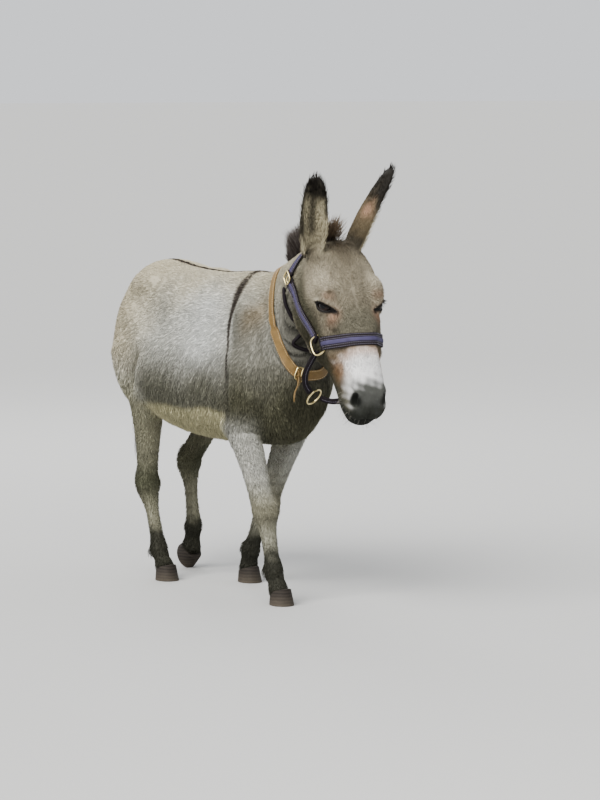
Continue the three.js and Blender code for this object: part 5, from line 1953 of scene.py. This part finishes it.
# ---- hooves
def build_hooves():
    """Four hooves: rings that narrow from the sole to the coronet, with growth rings, a worn
    rim and a rounded top edge that goes in under the coat."""
    for name, (toe, turn, lift) in HOOVES.items():
        sides = 64
        share = np.concatenate([[0, 0.0, 0.012], np.linspace(0.03, 1.0, 40), [1.04, 1.05, 1.03]])
        inset = np.concatenate([[0.1, 0.018, 0.0], np.zeros(40), [0.05, 0.14, 0.3]])
        angle = all_round(sides)
        c, s = np.cos(angle)[None], np.sin(angle)[None]
        ripple = 0.0028 * np.sin(share * 46 + 1.2 * np.sin(3 * share * 7)) * step(0.05, 0.2, share)
        narrow = ((1 - HOOF["narrowing"] * np.minimum(share, 1)) * (1 - inset) * (1 + ripple))[:, None]
        x = c * HOOF["width"] / 2 * narrow * (1 - HOOF["toe_spread"] * s)
        reach = np.where(s > 0, HOOF["heel_share"], 1.0)
        y = HOOF["length"] * (0.5 + HOOF["slope"] * share[:, None]) + s * HOOF["length"] / 2 * narrow * reach
        z = share[:, None] * mix(HOOF["toe_height"], HOOF["heel_height"], y / HOOF["length"])
        turn, lift = radians(turn), radians(lift)
        y, z = y * cos(lift) - z * sin(lift), y * sin(lift) + z * cos(lift)
        x, y = x * cos(turn) - y * sin(turn), x * sin(turn) + y * cos(turn)
        grid = place(columns(x, y, z) + np.array(toe, float))
        grid[..., 2] = np.maximum(grid[..., 2], 0.0)
        new_object(f"horn_{name}", *closed_tube(grid), finish("horn"), (f"hoof_{name}",), "hoof")


# ---- eyes
def eye_outline(count):
    """Almond outline of the open lids: along the slit and over it, in metres, with the outward
    direction in the same plane. The upper lid hangs flat, the lower one is rounder."""
    t = all_round(count)
    rise = np.where(np.sin(t) > 0, EYE_SLIT["upper"], EYE_SLIT["lower"])
    u = EYE_SLIT["half"] * np.cos(t)
    v = rise * np.sign(np.sin(t)) * np.abs(np.sin(t)) ** 1.25
    ahead = columns(np.roll(u, -1) - np.roll(u, 1), np.roll(v, -1) - np.roll(v, 1))
    ahead = unit(ahead)
    return u, v, columns(ahead[:, 1], -ahead[:, 0])


def build_eyes():
    """Eyeballs with their cornea, lids round the slit, and lashes."""
    for side_name, side in (("right", -1), ("left", 1)):
        centre, slit, over, gaze = eye_frame(side)
        turn = all_round(72)
        fall = np.linspace(0.03, pi - 0.03, 54)
        radius = EYE_RADIUS * (1 + 0.045 * bell(fall, 0.62))
        direction = (np.cos(turn)[None, :, None] * slit + np.sin(turn)[None, :, None] * over)
        grid = centre + (radius * np.sin(fall))[:, None, None] * direction \
            + (radius * np.cos(fall))[:, None, None] * gaze
        points, triangles = closed_tube(grid)
        ball = new_object(f"eyeball_{side_name}", points, triangles, finish("eyeball", "tint"),
                          (f"eye_{side_name}",), "eye")
        local = unit(points - centre)
        u, v, w = (local @ axis for axis in (slit, over, gaze))
        iris = np.hypot(u, v * 1.05)
        pupil = np.hypot(u / 1.7, v)
        colour = mix(np.broadcast_to((0.02, 0.012, 0.01), points.shape), np.array((0.022, 0.01, 0.006)),
                     step(0.74, 0.66, iris) * (w > 0))
        colour = mix(colour, np.array((0.002, 0.002, 0.003)), step(0.3, 0.24, pupil) * (w > 0))
        paint(ball, "tint", colour)

        u, v, out_way = eye_outline(120)
        lens = EYE_RADIUS + 0.0005
        profile = np.array([(0.0, -1.4), (-0.2, 0.2), (0.4, 1.3), (1.5, 2.1), (2.8, 2.3), (4.4, 1.9),
                            (6.4, 0.6), (8.4, -2.2), (6.0, -4.2), (3.0, -4.0), (1.2, -3.0)]) * MM
        upper = (v > 0)[:, None]
        off = profile[None, :, 0] * np.where(upper, 1.0, 0.85)
        uu = u[:, None] + out_way[:, :1] * off
        vv = v[:, None] + out_way[:, 1:] * off
        base = np.sqrt(np.clip(lens ** 2 - (uu * 0.8) ** 2 - vv ** 2, (0.35 * lens) ** 2, None))
        ww = base + profile[None, :, 1] * np.where(upper, 1.15, 0.8)
        grid = centre + uu[..., None] * slit + vv[..., None] * over + ww[..., None] * gaze
        lid = new_object(f"lids_{side_name}", *closed_loop(grid), finish("lid", "tint"), (), "coat")
        tint = mix(np.broadcast_to((0.012, 0.009, 0.008), (len(profile), 3)), np.array((0.2, 0.165, 0.125)),
                   step(0.0026, 0.0068, profile[:, 0]))
        paint(lid, "tint", np.tile(tint, (len(u), 1)))

        random = np.random.default_rng(SEED + side)
        count = 70
        pick = random.uniform(0.1, 0.8, count) * 60
        at = pick.astype(int)
        roots = centre + u[at, None] * slit + (v[at, None] + 0.001) * over
        reach = np.clip(lens ** 2 - (u[at] * 0.8) ** 2 - v[at] ** 2, 0.3 * lens ** 2, None)
        roots = roots + gaze * (np.sqrt(reach) + 0.0016)[:, None]
        fan = (u[at] / EYE_SLIT["half"] * 0.5 + random.normal(0, 0.12, count))[:, None]
        lie = unit(gaze * 0.9 + slit * fan - over * (0.25 + random.uniform(0, 0.25, count))[:, None])
        ups = square_to(over, lie)
        length = random.uniform(0.009, 0.015, count)
        tufts = Tufts(roots, lie, ups, length, np.full(count, 0.0007), length * 0.25, np.full(count, 0.0008),
                      random.normal(0, 0.1, count))
        lashes, triangles, _, _ = tuft_mesh(tufts, 4)
        new_object(f"lashes_{side_name}", lashes, triangles, finish("lash", (0.012, 0.01, 0.009)), (),
                   "dark_hair")


# ---- mane, tail and long hair
MANE = {"start": 0.56, "end": 0.995, "height": 76, "half_width": 10}


def crest_line(count):
    """Points along the crest of the neck under the mane, and the direction up from it."""
    rows = smooth_rows(NECK, 200)
    share = np.linspace(0, 1, 200)
    line = place(columns(NECK_LEAN * share, rows[:, 0], rows[:, 1]))
    want = np.linspace(MANE["start"], MANE["end"], count)
    line = columns_at(want, share, line)
    ahead = unit(np.gradient(line, axis=0))
    up = unit(np.cross(ahead, (1.0, 0, 0)))
    return line, up * np.sign(up[:, 2:3])


def hair_piece(name, tufts, rings, colours, slot, replaces=()):
    """Long hair: joined strands with a colour for each, darkened at the root with painted shade."""
    points, triangles, along, _ = tuft_mesh(tufts, rings)
    piece = new_object(name, points, triangles, finish("long_hair", "coat"), replaces, slot)
    # Strands darkened towards the root: painted shade.
    shade = mix(0.7, 1.12, along)
    paint(piece, "coat", np.clip(colours[:, None] * shade[None, :, None], 0.003, 0.9).reshape(-1, 3))
    return piece


def build_mane(settings):
    """The upright mane, its dense root, and the forelock between the ears."""
    random = np.random.default_rng(SEED + 5)
    dark = np.array(settings.dark)
    line, up = crest_line(80)
    share = np.linspace(0, 1, 80)
    swell = np.minimum(1, 0.2 + share * 3.2) * mix(1.0, 0.85, share)
    low = rounded(1.0, 2.0, 2.0, 28)
    size = columns(np.full(80, MANE["half_width"] * 1.7), MANE["height"] * 0.62 * swell) * MM
    ends = np.sqrt(np.clip(1 - (1 - np.minimum(np.minimum(share, 1 - share) * 12, 1)) ** 2, 0.05, 1))
    across, _ = along_path(line, up)
    core = closed_tube(carried(line, across, up, low[None] * (size * ends[:, None])[:, None]))
    piece = new_object("mane_root", *core, finish("long_hair", "coat"), ("mane",), "dark_hair")
    paint(piece, "coat", np.tile(dark * 0.8, (len(core[0]), 1)))

    count = 3400
    at = np.sort(random.uniform(0, 79, count))
    roots = columns_at(at, np.arange(80), line)
    rise_way = unit(columns_at(at, np.arange(80), up))
    tall = np.interp(at, np.arange(80), swell)
    aside = np.clip(random.normal(0, 0.42, count), -1, 1)
    roots[:, 0] += aside * MANE["half_width"] * MM
    roots -= rise_way * 0.01
    lean = columns(aside * 0.22 + random.normal(0, 0.09, count), random.normal(-0.02, 0.13, count),
                   np.zeros(count))
    lie = unit(rise_way + lean)
    outwards = unit(columns(np.sign(aside + 0.01), 0 * aside, 0.15 + 0 * aside))
    outwards = square_to(outwards, lie)
    length = (MANE["height"] * tall * (1 - 0.3 * np.abs(aside)) * random.uniform(0.8, 1.12, count) + 10) * MM
    grey = random.uniform(0, 1, count)[:, None] ** 3
    colours = mix(np.tile(dark, (count, 1)), np.array((0.16, 0.14, 0.13)), grey * 0.9)
    tufts = Tufts(roots, lie, outwards, length, random.uniform(0.0016, 0.0027, count),
                  length * random.uniform(0.02, 0.14, count), np.zeros(count), random.normal(0, 0.1, count))
    hair_piece("mane_hair", tufts, 5, colours, "dark_hair")

    count = 1000
    fore = random.uniform(0, 1, count) ** 0.9
    short = step(0.2, 0.34, fore)
    a = mix(-44, 92, fore)
    c = random.normal(0, 1, count) * mix(7, 17, short) - mix(9, 1, short)
    roots = on_head(a, -7 + mix(0.14, 0.05, short) * a - 0.006 * c * c, c)
    lie = unit(HEAD_AXES[1] * mix(0.95, 0.3, short)[:, None] + HEAD_AXES[0] * mix(-0.42, 0.95, short)[:, None]
               + HEAD_AXES[2] * (c / 90 + 0.12 * (1 - short) + random.normal(0, 0.13, count))[:, None]
               + HEAD_AXES[0] * random.normal(0, 0.14, count)[:, None])
    outwards = unit(np.cross(lie, HEAD_AXES[2]))
    outwards *= np.sign(outwards @ HEAD_AXES[1] + 0.01 * (outwards @ HEAD_AXES[0]))[:, None]
    length = mix(54, 30, short) * random.uniform(0.7, 1.15, count) * MM
    colours = mix(np.tile(np.array((0.15, 0.108, 0.07)), (count, 1)), tone("forehead"),
                  np.clip(short * 0.75 + random.normal(0, 0.22, count), 0, 1))
    tufts = Tufts(roots, lie, outwards, length, random.uniform(0.0012, 0.002, count),
                  length * random.uniform(0.0, 0.18, count) * mix(1.0, 0.5, short), np.full(count, 0.002),
                  random.normal(0, 0.12, count))
    hair_piece("forelock_hair", tufts, 4, colours, "dark_hair")


def build_tail(settings):
    """The switch: long strands from the lower half of the dock down to the hocks."""
    random = np.random.default_rng(SEED + 9)
    count = 2300
    rows = smooth_rows(TAIL_DOCK, 200)
    line = place(rows[:, :3])
    height = random.uniform(0.428, 0.6, count)
    order = np.argsort(line[:, 2])
    centre = columns_at(height, line[order, 2], line[order])
    angle = random.uniform(0, 2 * pi, count)
    outwards = columns(np.cos(angle), np.sin(angle), 0 * angle)
    radius = np.interp(height, line[order, 2], rows[order, 3]) * MM
    roots = centre + outwards * (radius * random.uniform(0.1, 0.95, count))[:, None]
    low = np.where(random.uniform(size=count) < 0.7, random.uniform(0.298, 0.35, count),
                   random.uniform(0.35, 0.45, count))
    length = np.maximum(roots[:, 2] - low, 0.05)
    lie = unit(columns(random.normal(0, 0.018, count), random.normal(0, 0.018, count), -1.0))
    colours = mix(np.tile(np.array(settings.dark) * 1.1, (count, 1)), np.array((0.15, 0.115, 0.085)),
                  random.uniform(0, 1, count) ** 3)
    tufts = Tufts(roots, lie, outwards, length, random.uniform(0.0018, 0.003, count),
                  random.uniform(0.004, 0.016, count), np.zeros(count), random.normal(0, 0.03, count))
    hair_piece("tail_hair", tufts, 6, colours, "dark_hair", ("tail",))


def build_whiskers():
    """Sparse stiff hairs on lips and chin."""
    random = np.random.default_rng(SEED + 13)
    points, normals, triangles = mesh_arrays(bpy.data.objects["skin"])
    centre = points[triangles].mean(1)
    along, out, across = in_head(centre).T
    weights = limb_weights(centre)["head"]
    spots = np.flatnonzero((weights > 0.8) & (along > 0.375) & (out < -0.085) & clear_of_openings(centre))
    pick = random.choice(spots, 150)
    roots = centre[pick]
    ups = unit(normals[triangles[pick]].sum(1))
    lie = unit(ups + np.array([0, 0, -0.6]) + random.normal(0, 0.25, (150, 3)))
    side = unit(np.cross(lie, random.normal(size=(150, 3))))
    length = random.uniform(0.008, 0.026, 150)
    tufts = Tufts(roots, lie, side, length, np.full(150, 0.0006), length * 0.15, np.full(150, 0.001),
                  random.normal(0, 0.15, 150))
    shade = np.where(random.uniform(size=150)[:, None] < 0.5, 0.05, 0.45) * np.array((1.0, 0.93, 0.82))
    hair_piece("whiskers", tufts, 4, shade, "coat")


# ---- stage
# turn and nod in degrees; lens, height over the floor, distance and shift to the left in millimetres
CAMERA = {
    "turn": 36.1, "nod": 5.697357, "lens": 144.6525, "height": 1350.7, "distance": 8402.7, "aside": -90.2,
}


def build_stage(settings):
    """A pale floor, soft lights and the camera."""
    reach = 150.0
    corners = np.array([(-reach, -reach, 0), (reach, -reach, 0), (reach, reach, 0), (-reach, reach, 0)])
    mesh = bpy.data.meshes.new("floor")
    mesh.from_pydata(corners.tolist(), [], [(0, 1, 2, 3)])
    floor = bpy.data.objects.new("floor", mesh)
    bpy.context.scene.collection.objects.link(floor)
    mesh.materials.append(finish("floor", settings.floor))

    world = bpy.data.worlds.new("studio")
    world.use_nodes = True
    bpy.context.scene.world = world
    background = world.node_tree.nodes["Background"]
    background.inputs["Color"].default_value = (0.95, 0.97, 1.0, 1)
    background.inputs["Strength"].default_value = 0.8 * settings.light
    lights = (
        ("sky", "SUN", (-1.0, -0.25, 1.05), 3.6, 0.75, (1.0, 0.98, 0.94)),
        ("fill", "AREA", (-2.0, -4.2, 2.6), 60, 2.6, (1.0, 0.98, 0.95)),
        ("back", "AREA", (1.5, 3.6, 3.4), 60, 2.4, (1.0, 1.0, 1.0)),
    )
    for name, kind, where, power, size, colour in lights:
        lamp = bpy.data.lights.new(name, kind)
        lamp.energy = power * settings.light
        lamp.color = colour
        if kind == "SUN":
            lamp.angle = size
        else:
            lamp.shape = "DISK"
            lamp.size = size
        light = bpy.data.objects.new(name, lamp)
        light.location = where
        light.rotation_euler = (-Vector(where)).to_track_quat("-Z", "Y").to_euler()
        bpy.context.scene.collection.objects.link(light)

    bpy.context.scene.view_settings.look = "AgX - Medium High Contrast"
    turn = radians(CAMERA["turn"])
    view = np.array([sin(turn), cos(turn), 0.0])
    right = np.array([cos(turn), -sin(turn), 0.0])
    centre = (-view * CAMERA["distance"] - right * CAMERA["aside"]) * MM + SHIFT
    centre[2] += CAMERA["height"] * MM
    lens = bpy.data.cameras.new("camera")
    lens.sensor_width = 36.0
    lens.sensor_fit = "AUTO"
    lens.lens = CAMERA["lens"]
    lens.clip_end = 500.0
    camera = bpy.data.objects.new("camera", lens)
    camera.location = centre
    camera.rotation_euler = (pi / 2 - radians(CAMERA["nod"]), 0.0, -turn)
    bpy.context.scene.collection.objects.link(camera)
    bpy.context.scene.camera = camera


# ---- operators
class DONKEY_OT_skin(bpy.types.Operator):
    """Builds the skin that stands for the flesh"""
    bl_idname = "donkey.skin"
    bl_label = "Skin"

    def execute(self, context):
        build_skin(context.scene.donkey_coat)
        return {"FINISHED"}


class DONKEY_OT_coat(bpy.types.Operator):
    """Lays the short coat over the skin"""
    bl_idname = "donkey.coat"
    bl_label = "Coat"

    def execute(self, context):
        build_coat(context.scene.donkey_coat)
        return {"FINISHED"}


class DONKEY_OT_gear(bpy.types.Operator):
    """Builds the halter and the collar"""
    bl_idname = "donkey.gear"
    bl_label = "Halter and collar"

    def execute(self, context):
        build_halter(context.scene.donkey_gear)
        build_collar(context.scene.donkey_gear)
        return {"FINISHED"}


class DONKEY_OT_hooves(bpy.types.Operator):
    """Builds the four hooves"""
    bl_idname = "donkey.hooves"
    bl_label = "Hooves"

    def execute(self, context):
        build_hooves()
        return {"FINISHED"}


class DONKEY_OT_eyes(bpy.types.Operator):
    """Builds the eyes, their lids and lashes"""
    bl_idname = "donkey.eyes"
    bl_label = "Eyes"

    def execute(self, context):
        build_eyes()
        return {"FINISHED"}


class DONKEY_OT_long_hair(bpy.types.Operator):
    """Builds the mane, the forelock, the tail and the whiskers"""
    bl_idname = "donkey.long_hair"
    bl_label = "Mane and tail"

    def execute(self, context):
        build_mane(context.scene.donkey_coat)
        build_tail(context.scene.donkey_coat)
        build_whiskers()
        return {"FINISHED"}


class DONKEY_OT_stage(bpy.types.Operator):
    """Sets the floor, the lights and the camera"""
    bl_idname = "donkey.stage"
    bl_label = "Stage"

    def execute(self, context):
        build_stage(context.scene.donkey_stage)
        return {"FINISHED"}


OPERATORS = (DONKEY_OT_stage, DONKEY_OT_skin, DONKEY_OT_gear, DONKEY_OT_coat, DONKEY_OT_hooves,
             DONKEY_OT_eyes, DONKEY_OT_long_hair)
SETTINGS = (DonkeyCoatSettings, DonkeyGearSettings, DonkeyStageSettings)


class DONKEY_PT_build(bpy.types.Panel):
    """Lists the steps that build the donkey"""
    bl_idname = "DONKEY_PT_build"
    bl_label = "Donkey"
    bl_space_type = "VIEW_3D"
    bl_region_type = "UI"
    bl_category = "Donkey"

    def draw(self, context):
        for group in (context.scene.donkey_coat, context.scene.donkey_gear, context.scene.donkey_stage):
            box = self.layout.box()
            for name in group.bl_rna.properties.keys():
                if name not in ("rna_type", "name"):
                    box.prop(group, name)
        for operator in OPERATORS:
            self.layout.operator(operator.bl_idname)


def register():
    for item in (*SETTINGS, *OPERATORS, DONKEY_PT_build):
        bpy.utils.register_class(item)
    bpy.types.Scene.donkey_coat = PointerProperty(type=DonkeyCoatSettings)
    bpy.types.Scene.donkey_gear = PointerProperty(type=DonkeyGearSettings)
    bpy.types.Scene.donkey_stage = PointerProperty(type=DonkeyStageSettings)


def unregister():
    del bpy.types.Scene.donkey_stage
    del bpy.types.Scene.donkey_gear
    del bpy.types.Scene.donkey_coat
    for item in reversed((*SETTINGS, *OPERATORS, DONKEY_PT_build)):
        bpy.utils.unregister_class(item)


def main():
    """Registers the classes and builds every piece."""
    register()
    for operator in OPERATORS:
        group, name = operator.bl_idname.split(".")
        getattr(getattr(bpy.ops, group), name)()


if __name__ == "__main__":
    main()
